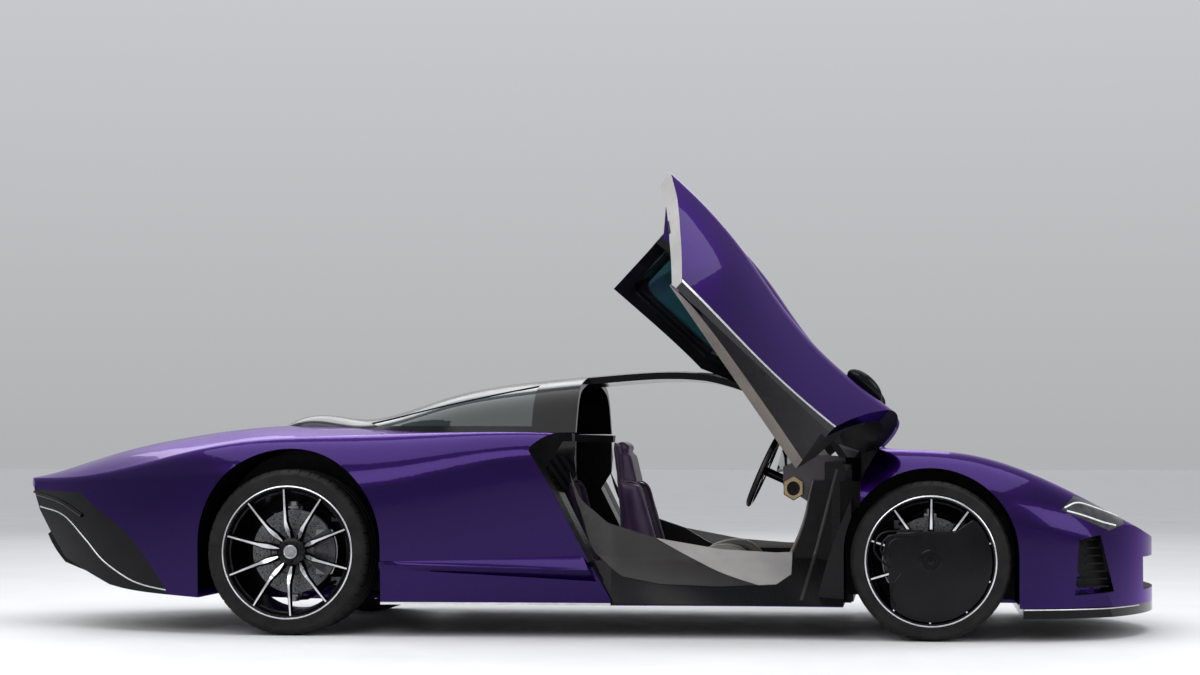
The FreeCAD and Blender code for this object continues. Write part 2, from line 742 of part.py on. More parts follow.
def knuckle_shape(caliper_angle):
    """Upright inside the disc, with its spindle, two kingpins and the brake caliper round the disc."""
    disc_face = -size("disc_inset")
    disc_back = disc_face - size("disc_thickness")
    back = disc_back - 14
    king = size("kingpin_y") - size("wheel_face")
    lift, pin = size("kingpin_lift"), size("kingpin_radius")
    spindle_end = -size("hub_recess") + 12
    body = Part.makeCylinder(62, 56, Vector(0, back - 56, 0), Vector(0, 1, 0))
    body = body.fuse(Part.makeCylinder(
        size("spindle_radius"), spindle_end - back + 20, Vector(0, back - 20, 0), Vector(0, 1, 0)))
    arm = size("kingpin_arm")
    body = body.fuse(box(-26, 26, back - 30, back, -lift - arm, lift + arm))
    for level in (1, -1):
        near, far = sorted((level * lift, level * (lift + arm)))
        body = body.fuse(box(-22, 22, back - 30, king + 20, near, far))
        start = Vector(0, king, level * lift)
        body = body.fuse(Part.makeCylinder(pin, arm + 22, start, Vector(0, 0, level)))
    radius = size("disc_radius")
    outward, thick = Vector(0, 1, 0), disc_face - disc_back
    ring = Part.makeCylinder(radius + 20, thick + 50, Vector(0, disc_back - 25, 0), outward)
    ring = ring.cut(Part.makeCylinder(radius - 60, 300, Vector(0, -300, 0), Vector(0, 1, 0)))
    groove = Part.makeCylinder(radius + 7, thick + 14, Vector(0, disc_back - 7, 0), outward)
    ring = ring.cut(groove)
    caliper = ring.common(turned_box(radius - 75, radius + 40, -300, 0, -95, 95, caliper_angle))
    bracket = turned_box(40, radius - 20, back - 36, back - 2, -40, 40, caliper_angle)
    return body.fuse([bracket, caliper])


for name, axle, side, radius, width, ring in CORNERS:
    where = corner_placement(axle, side, radius)
    add_revolved("tyre_" + name, tyre_corners(radius, width, ring), where)
    add_feature("rim_" + name, rim_shape(width, ring), where)
    disc_corners = [
        ("0 - disc_inset", "spindle_radius + spindle_clearance"), ("0 - disc_inset", "disc_radius"),
        ("0 - disc_inset - disc_thickness", "disc_radius"),
        ("0 - disc_inset - disc_thickness", "spindle_radius + spindle_clearance"),
    ]
    add_revolved("brake_disc_" + name, disc_corners, where)
    caliper_angle = 180 if (side > 0) == name.startswith("front") else 0
    add_feature("knuckle_" + name, knuckle_shape(caliper_angle), where)

# Static covers over the front wheels, carried by the knuckles' spindles

COVER = [
    # across, up; seen from outside with the front of the car to the right
    (-150, 190), (120, 218, "middle"), (246, -30), (100, -228, "middle"), (-170, -180), (-238, -20),
]
cover_wire = outline([(p[0], p[1], *p[2:]) for p in COVER], lambda x, z: Vector(x, 5, z))
cover = Part.Face(cover_wire).extrude(Vector(0, 5, 0))
boss_back = -size("hub_recess") + 12
cover = cover.fuse(Part.makeCylinder(26, 8 - boss_back, Vector(0, boss_back, 0), Vector(0, 1, 0)))
add_feature("wheel_cover_left", cover, corner_placement(FRONT_AXLE, 1, "front_tyre_radius"))
cover_right = cover.mirror(Vector(0, 0, 0), Vector(1, 0, 0))
add_feature("wheel_cover_right", cover_right, corner_placement(FRONT_AXLE, -1, "front_tyre_radius"))


# Wishbones from the tub to the kingpins

def wishbones(axle, centre_z, wall_y):
    king, pin = size("kingpin_y"), size("kingpin_radius")
    shapes = []
    for level in (1, -1):
        outer_z = centre_z + level * (size("kingpin_lift") + size("kingpin_arm") + 11)
        inner_z = centre_z + level * size("inner_pivot_lift")
        arm = Part.makeCylinder(24, 18, Vector(axle, king, outer_z - 9), Vector(0, 0, 1))
        for reach in (-130, 130):
            foot = box(axle + reach - 22, axle + reach + 22, wall_y, wall_y + 20, inner_z - 18, inner_z + 18)
            bend = (axle + reach * 80 / (king - wall_y), king - 80, outer_z)
            thick = size("wishbone_rod")
            knob = Part.makeSphere(thick, Vector(*bend))
            inner_rod = rod((axle + reach, wall_y + 10, inner_z), bend, thick)
            arm = arm.fuse([foot, inner_rod, knob, rod(bend, (axle, king, outer_z), thick)])
        bore = Part.makeCylinder(pin + 0.1, 60, Vector(axle, king, outer_z - 30), Vector(0, 0, 1))
        shapes.append(arm.cut(bore))
    return both_sides(shapes[0].fuse(shapes[1]))


front_arms = wishbones(FRONT_AXLE, size("front_tyre_radius"), size("front_well_wall"))
rear_arms = wishbones(REAR_AXLE, size("rear_tyre_radius"), size("rear_well_wall"))
add_feature("wishbones", front_arms.fuse(rear_arms))

# Cabin: a driver's seat in the middle, two passenger seats set back, dash and steering wheel

SEAT_SIDE = [
    # x, z of the seat's side view, from the front of the cushion
    (470, 190), (480, 330), (440, 350), (120, 290), (-20, 640), (-90, 880), (-150, 880), (-110, 560),
    (10, 190),
]


def seat(shift_x, shift_y, half_width, lift):
    points = [(x + shift_x, z + lift) for x, z in SEAT_SIDE]
    return side_prism(points, shift_y - half_width, shift_y + half_width)


floor_top = FLOOR + size("floor_thickness")
lift = floor_top + size("seat_gap") - 190
driver = seat(330, 0, 235, lift)
add_feature("driver_seat", driver)
passenger = seat(-30, 440, 180, lift)
add_feature("passenger_seats", both_sides(passenger))
dash_back = cabin_front - size("seat_gap")
DASH_SIDE = [(dash_back, 520), (dash_back, 760), (1080, 770), (960, 720), (960, 640), (1080, 560)]
dash_half = post_y - size("seat_gap")
dash = side_prism(DASH_SIDE, -dash_half, dash_half).common(shell_room)
wheel_tilt = Rotation(Vector(0, 1, 0), -66)
steering_centre = Vector(845, 0, 700)
ring_shape = Part.makeTorus(size("steering_wheel_radius"), size("steering_rim_radius"))
hub_shape = Part.makeCylinder(42, 26, Vector(0, 0, -13), Vector(0, 0, 1))
bars = [box(-size("steering_wheel_radius"), size("steering_wheel_radius"), -16, 16, -7, 7)]
bars.append(box(-16, 16, -size("steering_wheel_radius"), 0, -7, 7))
steering_shape = ring_shape.fuse([hub_shape] + bars)
column_radius = size("steering_column_radius")
column = Part.makeCylinder(column_radius, 160, Vector(0, 0, -170), Vector(0, 0, 1))
steering_shape = steering_shape.fuse(column)
column_space = Part.makeCylinder(column_radius + size("seat_gap"), 175, Vector(0, 0, -175), Vector(0, 0, 1))
column_space.Placement = Placement(steering_centre, wheel_tilt)
add_feature("dash", dash.cut(column_space))
add_feature("steering_wheel", steering_shape, Placement(steering_centre, wheel_tilt))

doc.recompute()

# Every object must be sound before anything is written

for item in doc.Objects:
    if "Invalid" in item.State or "Error" in item.State:
        raise RuntimeError(item.Name + " failed: " + str(item.State))
for name, item in NODES.items():
    if item.Shape.isNull() or not item.Shape.isValid() or not item.Shape.Solids:
        raise RuntimeError(name + " has no sound shape")

os.makedirs("parts", exist_ok=True)
for name, item in NODES.items():
    item.Shape.exportStep(os.path.join("parts", name + ".step"))
print(len(NODES), "nodes")
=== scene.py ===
from math import copysign, cos, pi, radians, sin, sqrt, tan

import bmesh
import bpy
from mathutils import Matrix, Vector
from mathutils.bvhtree import BVHTree


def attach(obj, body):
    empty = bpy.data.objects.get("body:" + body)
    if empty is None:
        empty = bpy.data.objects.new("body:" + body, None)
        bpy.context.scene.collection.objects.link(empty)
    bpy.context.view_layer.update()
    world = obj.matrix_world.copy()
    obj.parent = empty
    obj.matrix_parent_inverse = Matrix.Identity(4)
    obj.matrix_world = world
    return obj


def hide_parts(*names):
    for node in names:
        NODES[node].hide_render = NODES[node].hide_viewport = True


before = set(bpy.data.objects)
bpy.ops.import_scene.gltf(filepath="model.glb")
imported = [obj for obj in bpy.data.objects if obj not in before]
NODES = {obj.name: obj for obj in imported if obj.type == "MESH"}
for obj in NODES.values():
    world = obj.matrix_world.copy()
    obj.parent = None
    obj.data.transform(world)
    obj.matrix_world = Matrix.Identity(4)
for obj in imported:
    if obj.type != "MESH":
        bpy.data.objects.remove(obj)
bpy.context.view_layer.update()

# Sizes in metres, from the wheels' places in the model

FRONT_AXLE = 1.5885
REAR_AXLE = -1.1375
WHEEL_FACE = 0.945
FRONT_RADIUS = 0.332
DOOR_ANGLE = 76.75
SIDES = (1, -1)
CORNERS = [
    # corner, side, axle, tyre radius, tyre width, ring radius
    ("front_left", 1, FRONT_AXLE, FRONT_RADIUS, 0.235, 0.271),
    ("front_right", -1, FRONT_AXLE, FRONT_RADIUS, 0.235, 0.271),
    ("rear_left", 1, REAR_AXLE, 0.355, 0.315, 0.284),
    ("rear_right", -1, REAR_AXLE, 0.355, 0.315, 0.284),
]


# Materials: each one a shader with its own grain, colour change and roughness change

def new_material(name, colour, rough, metal=0.0, **settings):
    mat = bpy.data.materials.new(name)
    mat.use_nodes = True
    shader = mat.node_tree.nodes["Principled BSDF"]
    shader.inputs["Base Color"].default_value = (*colour, 1)
    shader.inputs["Roughness"].default_value = rough
    shader.inputs["Metallic"].default_value = metal
    for key, value in settings.items():
        shader.inputs[key.replace("_", " ")].default_value = value
    return mat


def shader_of(mat):
    return mat.node_tree.nodes["Principled BSDF"]


def add_node(mat, kind, **values):
    node = mat.node_tree.nodes.new(kind)
    for key, value in values.items():
        setattr(node, key, value)
    return node


def link(mat, a, b):
    mat.node_tree.links.new(a, b)


def place(mat, scale=(1, 1, 1)):
    """Object coordinates, stretched."""
    coords = add_node(mat, "ShaderNodeTexCoord")
    mapping = add_node(mat, "ShaderNodeMapping")
    mapping.inputs["Scale"].default_value = scale
    link(mat, coords.outputs["Object"], mapping.inputs["Vector"])
    return mapping.outputs["Vector"]


def noise(mat, scale, detail=2.0, stretch=(1, 1, 1)):
    tex = add_node(mat, "ShaderNodeTexNoise")
    tex.inputs["Scale"].default_value = scale
    tex.inputs["Detail"].default_value = detail
    link(mat, place(mat, stretch), tex.inputs["Vector"])
    return tex.outputs["Fac"]


def cells(mat, scale, output="Distance", feature="F1"):
    tex = add_node(mat, "ShaderNodeTexVoronoi", feature=feature)
    tex.inputs["Scale"].default_value = scale
    link(mat, place(mat), tex.inputs["Vector"])
    return tex.outputs[output]


def ramp_colour(mat, value, low, high, start=0.3, end=0.7):
    ramp = add_node(mat, "ShaderNodeValToRGB")
    ramp.color_ramp.elements[0].position = start
    ramp.color_ramp.elements[1].position = end
    ramp.color_ramp.elements[0].color = (*low, 1)
    ramp.color_ramp.elements[1].color = (*high, 1)
    link(mat, value, ramp.inputs["Fac"])
    link(mat, ramp.outputs["Color"], shader_of(mat).inputs["Base Color"])


def ramp_rough(mat, value, low, high):
    spread = add_node(mat, "ShaderNodeMapRange")
    spread.inputs["From Min"].default_value = 0.3
    spread.inputs["From Max"].default_value = 0.7
    spread.inputs["To Min"].default_value = low
    spread.inputs["To Max"].default_value = high
    link(mat, value, spread.inputs["Value"])
    link(mat, spread.outputs["Result"], shader_of(mat).inputs["Roughness"])


def raise_grain(mat, height, distance, strength=1.0):
    bump = add_node(mat, "ShaderNodeBump")
    bump.inputs["Strength"].default_value = strength
    bump.inputs["Distance"].default_value = distance
    link(mat, height, bump.inputs["Height"])
    link(mat, bump.outputs["Normal"], shader_of(mat).inputs["Normal"])


def grained(name, base, rough, tint, gloss, grain=None, metal=0.0, **settings):
    """Noise drives colour and roughness, each by (scale, detail, low, high), and bumps by grain."""
    mat = new_material(name, base, rough, metal, **settings)
    ramp_colour(mat, noise(mat, *tint[:2]), *tint[2:])
    ramp_rough(mat, noise(mat, *gloss[:2]), *gloss[2:])
    if grain:
        raise_grain(mat, noise(mat, *grain[:2]), grain[2])
    return mat


def weave():
    """Lacquered carbon: two crossed sets of bands, each a twill step apart."""
    mat = new_material("lacquered_weave", (0.008, 0.008, 0.009), 0.3, Specular_IOR_Level=0.16)
    bands = []
    for turn in (1, -1):
        wave = add_node(mat, "ShaderNodeTexWave", wave_type="BANDS", bands_direction="DIAGONAL")
        wave.inputs["Scale"].default_value = 60
        link(mat, place(mat, (turn, 1, 1)), wave.inputs["Vector"])
        bands.append(wave.outputs["Fac"])
    mix = add_node(mat, "ShaderNodeMath", operation="MULTIPLY")
    link(mat, bands[0], mix.inputs[0])
    link(mat, bands[1], mix.inputs[1])
    ramp_colour(mat, mix.outputs[0], (0.0035, 0.0035, 0.004), (0.016, 0.016, 0.018), 0.1, 0.7)
    ramp_rough(mat, mix.outputs[0], 0.25, 0.42)
    return mat


def tinted(name, low, high, clear):
    return grained(name, low, 0.03, (2.5, 2, low, high), (5, 2, 0.01, 0.04),
                   Transmission_Weight=clear, Specular_IOR_Level=0.4)


def leather(name, low, high, sheen=0.2):
    mat = new_material(name, low, 0.45, Sheen_Weight=sheen)
    grain = cells(mat, 420)
    ramp_colour(mat, noise(mat, 7, 4), low, high)
    ramp_rough(mat, noise(mat, 60, 3), 0.36, 0.55)
    raise_grain(mat, grain, 0.0004, 0.6)
    return mat


def metal(name, low, high, rough_low, rough_high, stretch=(1, 1, 1)):
    mat = new_material(name, low, rough_low, 1.0)
    ramp_colour(mat, noise(mat, 25, 4), low, high)
    ramp_rough(mat, noise(mat, 240, 3, stretch), rough_low, rough_high)
    raise_grain(mat, noise(mat, 240, 2, stretch), 0.00005)
    return mat


def brake_ceramic():
    mat = new_material("brake_ceramic", (0.1, 0.1, 0.105), 0.35, 0.6)
    ramp_colour(mat, cells(mat, 160), (0.06, 0.06, 0.064), (0.16, 0.16, 0.168))
    ramp_rough(mat, noise(mat, 90, 3), 0.28, 0.45)
    raise_grain(mat, noise(mat, 200, 3), 0.0001)
    return mat


MATERIALS = {
    "body_paint": grained(
        "candy_purple", (0.015, 0.002, 0.09), 0.25, (900, 1, (0.0095, 0.0010, 0.040),
                                                     (0.0205, 0.0026, 0.088)),
        (3, 2, 0.20, 0.28), (120, 2, 0.00004), 1.0,
        Coat_Weight=0.32, Coat_Roughness=0.015, Specular_Tint=(0.6, 0.4, 1.0, 1)),
    "gloss_black": grained(
        "gloss_black", (0.003, 0.003, 0.004), 0.12, (6, 2, (0.0022, 0.0022, 0.003), (0.005, 0.005, 0.006)),
        (9, 2, 0.09, 0.18), (150, 2, 0.00004), Specular_IOR_Level=0.16),
    "carbon": weave(),
    "tinted_glass": tinted("green_black_glass", (0.003, 0.012, 0.013), (0.007, 0.026, 0.028), 0.35),
    "door_glass": tinted("blue_green_glass", (0.02, 0.075, 0.095), (0.04, 0.13, 0.16), 0.7),
    "lamp_glass": grained(
        "lamp_cover", (0.08, 0.085, 0.09), 0.05, (20, 2, (0.012, 0.013, 0.016), (0.05, 0.054, 0.06)),
        (14, 2, 0.02, 0.08), Transmission_Weight=0.12, Specular_IOR_Level=0.3),
    "seat_leather": leather("seat_hide", (0.03, 0.012, 0.05), (0.06, 0.028, 0.09)),
    "trim_leather": leather("trim_hide", (0.022, 0.018, 0.022), (0.045, 0.038, 0.044)),
    "tyre": grained(
        "tyre_rubber", (0.008, 0.008, 0.008), 0.62, (14, 5, (0.004, 0.004, 0.004), (0.012, 0.0115, 0.011)),
        (40, 4, 0.5, 0.75), (500, 3, 0.0002), Specular_IOR_Level=0.18),
    "rim_metal": metal("rim_black", (0.012, 0.012, 0.013), (0.025, 0.025, 0.027), 0.2, 0.34),
    "disc_ceramic": brake_ceramic(),
    "suspension_metal": metal("forged_alloy", (0.2, 0.2, 0.21), (0.34, 0.34, 0.35), 0.32, 0.5),
    "engine_metal": metal("cast_alloy", (0.12, 0.12, 0.125), (0.24, 0.24, 0.245), 0.45, 0.65),
    "caliper": metal("caliper_grey", (0.045, 0.045, 0.05), (0.08, 0.08, 0.085), 0.3, 0.42),
    "silver": metal("machined_silver", (0.6, 0.6, 0.62), (0.78, 0.78, 0.8), 0.16, 0.28, (1, 1, 8)),
    "satin_black": grained(
        "satin_black", (0.007, 0.007, 0.008), 0.45, (12, 4, (0.004, 0.004, 0.0045), (0.010, 0.010, 0.011)),
        (30, 3, 0.38, 0.55), (700, 2, 0.00012), Specular_IOR_Level=0.14),
    "rubber_seal": leather("rubber_seal", (0.012, 0.012, 0.012), (0.03, 0.03, 0.03), 0.0),
    "door_grey": leather("door_grey", (0.008, 0.008, 0.0095), (0.013, 0.013, 0.0155), 0.0),
    "beige": leather("beige_trim", (0.16, 0.135, 0.12), (0.22, 0.19, 0.17), 0.1),
    "brown_trim": leather("brown_trim", (0.013, 0.011, 0.0105), (0.021, 0.018, 0.017), 0.0),
    "red_glass": grained(
        "red_lamp", (0.2, 0.004, 0.004), 0.08, (30, 2, (0.14, 0.002, 0.003), (0.28, 0.006, 0.006)),
        (50, 2, 0.05, 0.12), Coat_Weight=1.0),
    "seat_piping": leather("seat_piping", (0.09, 0.07, 0.11), (0.14, 0.11, 0.16), 0.1),
    "bronze": metal("bronze_ring", (0.30, 0.22, 0.13), (0.42, 0.32, 0.19), 0.24, 0.36),
    "screen": grained(
        "dark_screen", (0.004, 0.005, 0.008), 0.06, (12, 2, (0.003, 0.004, 0.006), (0.008, 0.010, 0.016)),
        (40, 2, 0.04, 0.10), Coat_Weight=1.0, Coat_Roughness=0.02),
    "lamp_white": grained(
        "lamp_guide", (0.8, 0.82, 0.85), 0.2, (60, 2, (0.7, 0.72, 0.75), (0.85, 0.87, 0.9)),
        (80, 2, 0.12, 0.25), Coat_Weight=1.0),
    # Pale leather for the sill's front panels; on the doors' shut faces it stands as a painted reflection.
    "pale_trim": leather("pale_trim", (0.30, 0.29, 0.285), (0.38, 0.37, 0.36), 0.05),
    "grey_trim": leather("grey_trim", (0.12, 0.11, 0.10), (0.18, 0.165, 0.15), 0.05),
}

for obj in NODES.values():
    for holder in obj.material_slots:
        key = holder.material.name.split(".")[0]
        for slot, mat in MATERIALS.items():
            if key.endswith(slot):
                holder.material = mat
                break
for node, kind in (
        ("door_trim_left", "door_grey"), ("door_trim_right", "door_grey"), ("sill_blades", "body_paint"),
        ("door_glass_left", "door_glass"), ("door_glass_right", "door_glass"), ("tail_fascia", "gloss_black"),
        ("splitter", "gloss_black")):
    for holder in NODES[node].material_slots:
        holder.material = MATERIALS[kind]


# Helpers for the modelled pieces

def hand(side):
    return "left" if side > 0 else "right"


def object_of(name, bm):
    """New object in the scene, with a bmesh's form."""
    mesh = bpy.data.meshes.new(name)
    bm.to_mesh(mesh)
    bm.free()
    obj = bpy.data.objects.new(name, mesh)
    bpy.context.scene.collection.objects.link(obj)
    return obj


def mesh_piece(name, bm, mat, body, angle=32):
    """A finished object from a bmesh, smooth up to an angle, riding on a body."""
    bmesh.ops.recalc_face_normals(bm, faces=bm.faces[:])
    obj = object_of(name, bm)
    obj.data.materials.append(MATERIALS[mat])
    obj.data.shade_smooth()
    obj.data.set_sharp_from_angle(angle=radians(angle))
    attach(obj, body)
    return obj


def surface(*names, way=Vector):
    """Search tree over the triangles of some nodes, each corner taken through way()."""
    verts, polys = [], []
    for name in names:
        mesh = NODES[name].data
        start = len(verts)
        verts += [way(v.co) for v in mesh.vertices]
        polys += [[start + i for i in p.vertices] for p in mesh.polygons]
    return BVHTree.FromPolygons(verts, polys)


def side_hit(tree, x, z, side, lift=0.0):
    """Point on the outside of the body at a given x and z, seen from one side."""
    hit, normal, _, _ = tree.ray_cast(Vector((x, side * 3, z)), Vector((0, -side, 0)))
    if hit is None:
        return None
    if normal.y * side < 0:
        normal = -normal
    return hit + normal * lift


def grid_faces(bm, rows, closed_rows=False, closed_columns=False):
    count = len(rows)
    for i in range(count if closed_rows else count - 1):
        a, b = rows[i], rows[(i + 1) % count]
        width = len(a)
        for k in range(width if closed_columns else width - 1):
            bm.faces.new((a[k], a[(k + 1) % width], b[(k + 1) % width], b[k]))


def hoop_faces(bm, rows, ends=False):
    """Faces between closed rows, and over the first and the last row where ends is set."""
    grid_faces(bm, rows, False, True)
    if ends:
        bm.faces.new(rows[0])
        bm.faces.new(rows[-1])


def tube(name, points, radius, mat, body, sides=8, flat=1.0):
    """Round or flattened rod along a path of points."""
    bm = bmesh.new()
    sweep_rod(bm, [Vector(p) for p in points], radius, sides, flat)
    return mesh_piece(name, bm, mat, body, 60)


def sweep_rod(bm, path, radius, sides=8, flat=1.0):
    rings = []
    for i, here in enumerate(path):
        ahead = path[min(i + 1, len(path) - 1)] - path[max(i - 1, 0)]
        ahead.normalize()
        across = ahead.cross(Vector((0, 1, 0)))
        if across.length < 0.1:
            across = ahead.cross(Vector((1, 0, 0)))
        across.normalize()
        up = across.cross(ahead)
        rings.append([bm.verts.new(here + across * radius * cos(a) + up * radius * flat * sin(a))
                      for a in even_angles(sides)])
    hoop_faces(bm, rings)
    bm.faces.new(rings[0])
    bm.faces.new(list(reversed(rings[-1])))


def side_path(points):
    """Smooth path through (x, z) places in the plane of the car's length."""
    return smooth_path([(x, 0, z) for x, z in points])


def hits_along(tree, path, side, lift):
    hits = [side_hit(tree, p.x, p.z, side, lift) for p in path]
    return [hit for hit in hits if hit is not None]


def smooth_path(points, steps=6):
    """Points on a curve through the given points."""
    points = [Vector(p) for p in points]
    ends = [points[0] * 2 - points[1]] + points + [points[-1] * 2 - points[-2]]
    path = []
    for i in range(1, len(ends) - 2):
        a, b, c, d = ends[i - 1:i + 3]
        for k in range(steps):
            t = k / steps
            path.append(0.5 * ((2 * b) + (c - a) * t + (2 * a - 5 * b + 4 * c - d) * t * t
                               + (3 * b - a - 3 * c + d) * t ** 3))
    path.append(points[-1])
    return path


def lathe(bm, profile, count, spot):
    """Profile of (y, radius) turned about the wheel's axis; spot places a local point."""
    rows = []
    for turn in even_angles(count):
        rows.append([bm.verts.new(spot(r * sin(turn), y, r * cos(turn))) for y, r in profile])
    grid_faces(bm, rows, True, True)


def polar(radius, turn):
    return radius * sin(turn), radius * cos(turn)


def ring_at(bm, spot, centre, size, y, count):
    """Ring of corners round a place, at a depth from the wheel's face."""
    return [bm.verts.new(spot(centre[0] + dx, y, centre[1] + dz)) for dx, dz in
            (polar(size, a) for a in even_angles(count))]


def add_stud(bm, spot, centre, low, top, count):
    """Stud between two rings of (size, depth), with its top closed."""
    rings = [ring_at(bm, spot, centre, size, y, count) for size, y in (low, top)]
    hoop_faces(bm, rings)
    bm.faces.new(rings[1])
    return rings[0]


def even_angles(count):
    return [2 * pi * i / count for i in range(count)]


def corner_spot(side, axle, radius):
    """Local wheel coordinates, with y outward from the wheel's face, to the car's."""
    return lambda x, y, z: Vector((axle + x, side * (WHEEL_FACE + y), radius + z))


def cladding(name, node, keep, mat, body, slot, cuts=(), lift=0.0008, thick=0.0006):
    """Thin skin over the faces of a node that keep() picks, cut at planes of (point, outward normal)."""
    bm = bmesh.new()
    bm.from_mesh(NODES[node].data)
    for point, normal in cuts:
        everything = bm.verts[:] + bm.edges[:] + bm.faces[:]
        bmesh.ops.bisect_plane(bm, geom=everything, plane_co=point, plane_no=normal, clear_outer=True)
    bm.normal_update()
    gone = [f for f in bm.faces if not keep(f.calc_center_median(), f.normal)]
    bmesh.ops.delete(bm, geom=gone, context="FACES")
    bmesh.ops.remove_doubles(bm, verts=bm.verts[:], dist=0.00002)
    bm.normal_update()
    for vert in bm.verts:
        vert.co += vert.normal * (lift + thick)
    bmesh.ops.solidify(bm, geom=bm.faces[:], thickness=thick)
    return mesh_piece(name, bm, mat, body, 30)


# Wheels

SPOKES = 10
BLOCKS = 48


def tyre_profile(radius, width, ring):
    height = radius - ring
    outer = [
        (-0.016, ring - 0.010), (-0.006, ring - 0.004), (-0.0005, ring + 0.004), (0.0012, ring + 0.009),
        (0.0002, ring + 0.013), (0.0016, ring + 0.4 * height), (-0.001, ring + 0.62 * height),
        (-0.0005, ring + 0.66 * height), (-0.006, ring + 0.8 * height), (-0.015, radius - 0.008),
    ]
    tread = [(-0.024, radius - 0.003), (-0.034, radius - 0.001)]
    for share in (0.3, 0.48):
        middle = -width * share
        tread += [(middle + 0.0055, radius), (middle + 0.004, radius - 0.007),
                  (middle - 0.004, radius - 0.007), (middle - 0.0055, radius)]
    front = outer + tread
    back = [(-width - y, r) for y, r in reversed(front)]
    lining = [(-width + 0.02, ring - 0.006), (-width / 2, ring + 0.004), (-0.02, ring - 0.006)]
    return front, back, lining


def add_tyre(name, side, axle, radius, width, ring):
    spot = corner_spot(side, axle, radius)
    front, back, lining = tyre_profile(radius, width, ring)
    profile = front + back + lining
    shoulder = {i for i, (y, r) in enumerate(profile)
                if r > radius - 0.0095 and (y > -width * 0.26 or y < -width * 0.74)}
    bm = bmesh.new()
    rows = []
    for block in range(BLOCKS):
        start = 2 * pi * block / BLOCKS
        for part, sunk in ((0.0, 0), (0.03, 1), (0.14, 1), (0.17, 0), (0.6, 0)):
            turn = start + part * 2 * pi / BLOCKS
            row = []
            for i, (y, r) in enumerate(profile):
                lowered = r - 0.0035 if sunk and i in shoulder else r
                lean = turn + (0.02 if i in shoulder else 0.0) * (y + width / 2) / width
                row.append(bm.verts.new(spot(lowered * sin(lean), y, lowered * cos(lean))))
            rows.append(row)
    grid_faces(bm, rows, True, True)
    piece = mesh_piece("road_tyre_" + name, bm, "tyre", "wheel_" + name, 28)
    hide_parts("tyre_" + name)


def spoke_sections(ring, recess):
    """Rows of radius, depth of the face, half widths of face and back, and thickness, along a spoke."""
    return [
        (0.052, -recess - 0.004, 0.0010, 0.016, 0.030), (0.066, -recess + 0.006, 0.0050, 0.015, 0.034),
        (0.092, -0.036, 0.0095, 0.017, 0.036), (0.118, -0.010, 0.0085, 0.015, 0.034),
        (0.135, -0.0035, 0.0058, 0.012, 0.032), (0.20, -0.0015, 0.0045, 0.010, 0.026),
        (ring - 0.012, -0.0045, 0.0038, 0.009, 0.020),
    ]


def add_rim(name, side, axle, radius, width, ring, first_turn):
    spot = corner_spot(side, axle, radius)
    recess = 0.070
    black, silver = bmesh.new(), bmesh.new()
    seat = ring - 0.014
    inner = [
        (-0.001, ring - 0.0066), (-0.0012, seat + 0.002), (-0.010, seat - 0.006), (-0.030, seat - 0.010),
        (-0.034, seat - 0.016), (-0.10, seat - 0.021), (-width + 0.03, seat - 0.020),
        (-width + 0.012, seat - 0.004), (-width + 0.004, seat),
    ]
    outer = [(-width + 0.006, seat + 0.003), (-width + 0.03, seat - 0.012), (-0.06, seat - 0.012),
             (-0.02, seat + 0.001)]
    lathe(black, inner + outer, 120, spot)
    lip = [
        (-0.006, ring - 0.0070), (0.0010, ring - 0.0062), (0.0026, ring - 0.0048), (0.0024, ring - 0.0016),
        (0.0006, ring + 0.0008), (-0.006, ring - 0.0004),
    ]
    lathe(silver, lip, 160, spot)
    hub = [
        (-recess + 0.010, 0.020), (-recess + 0.008, 0.031), (-recess - 0.002, 0.033),
        (-recess - 0.002, 0.052),
        (-recess - 0.008, 0.062), (-0.112, 0.064), (-0.112, 0.032),
    ]
    lathe(black, hub, 60, spot)
    cap = [(-recess + 0.0105, 0.001), (-recess + 0.0115, 0.024), (-recess + 0.0095, 0.029),
           (-recess + 0.004, 0.030),
           (-recess, 0.001)]
    lathe(black, cap, 48, spot)
    band = [(-recess + 0.0115, 0.0245), (-recess + 0.0128, 0.0262), (-recess + 0.0115, 0.0282),
            (-recess + 0.006, 0.0290), (-recess + 0.006, 0.0245)]
    lathe(silver, band, 48, spot)
    for k in range(5):
        turn = 2 * pi * (k + 0.5) / 5
        for size, top in ((0.0085, -recess + 0.006), (0.0055, -recess + 0.009)):
            foot = add_stud(black, spot, polar(0.043, turn), (size, -recess - 0.006), (size, top), 6)
            black.faces.new(foot)
    for k in range(SPOKES):
        turn = first_turn + 2 * pi * k / SPOKES
        radial = (sin(turn), cos(turn))
        along = (cos(turn), -sin(turn))

        def at(r, across, y):
            return spot(radial[0] * r + along[0] * across, y, radial[1] * r + along[1] * across)

        body_rows, face_rows = [], []
        for r, y, face, back, thick in spoke_sections(ring, recess):
            body_rows.append([black.verts.new(at(r, a, b)) for a, b in (
                (-face, y), (face, y), (face + 0.002, y - 0.003), (back, y - thick * 0.6),
                (back * 0.6, y - thick), (-back * 0.6, y - thick), (-back, y - thick * 0.6),
                (-face - 0.002, y - 0.003))])
            face_rows.append([silver.verts.new(at(r, a, b)) for a, b in (
                (-face + 0.0003, y - 0.0006), (-face + 0.0006, y + 0.0009), (face - 0.0006, y + 0.0009),
                (face - 0.0003, y - 0.0006))])
        for bm, rows in ((black, body_rows), (silver, face_rows)):
            hoop_faces(bm, rows, True)
    rim = mesh_piece("spoked_rim_" + name, black, "rim_metal", "wheel_" + name, 34)
    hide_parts("rim_" + name)
    mesh_piece("rim_bright_" + name, silver, "silver", "wheel_" + name, 40)


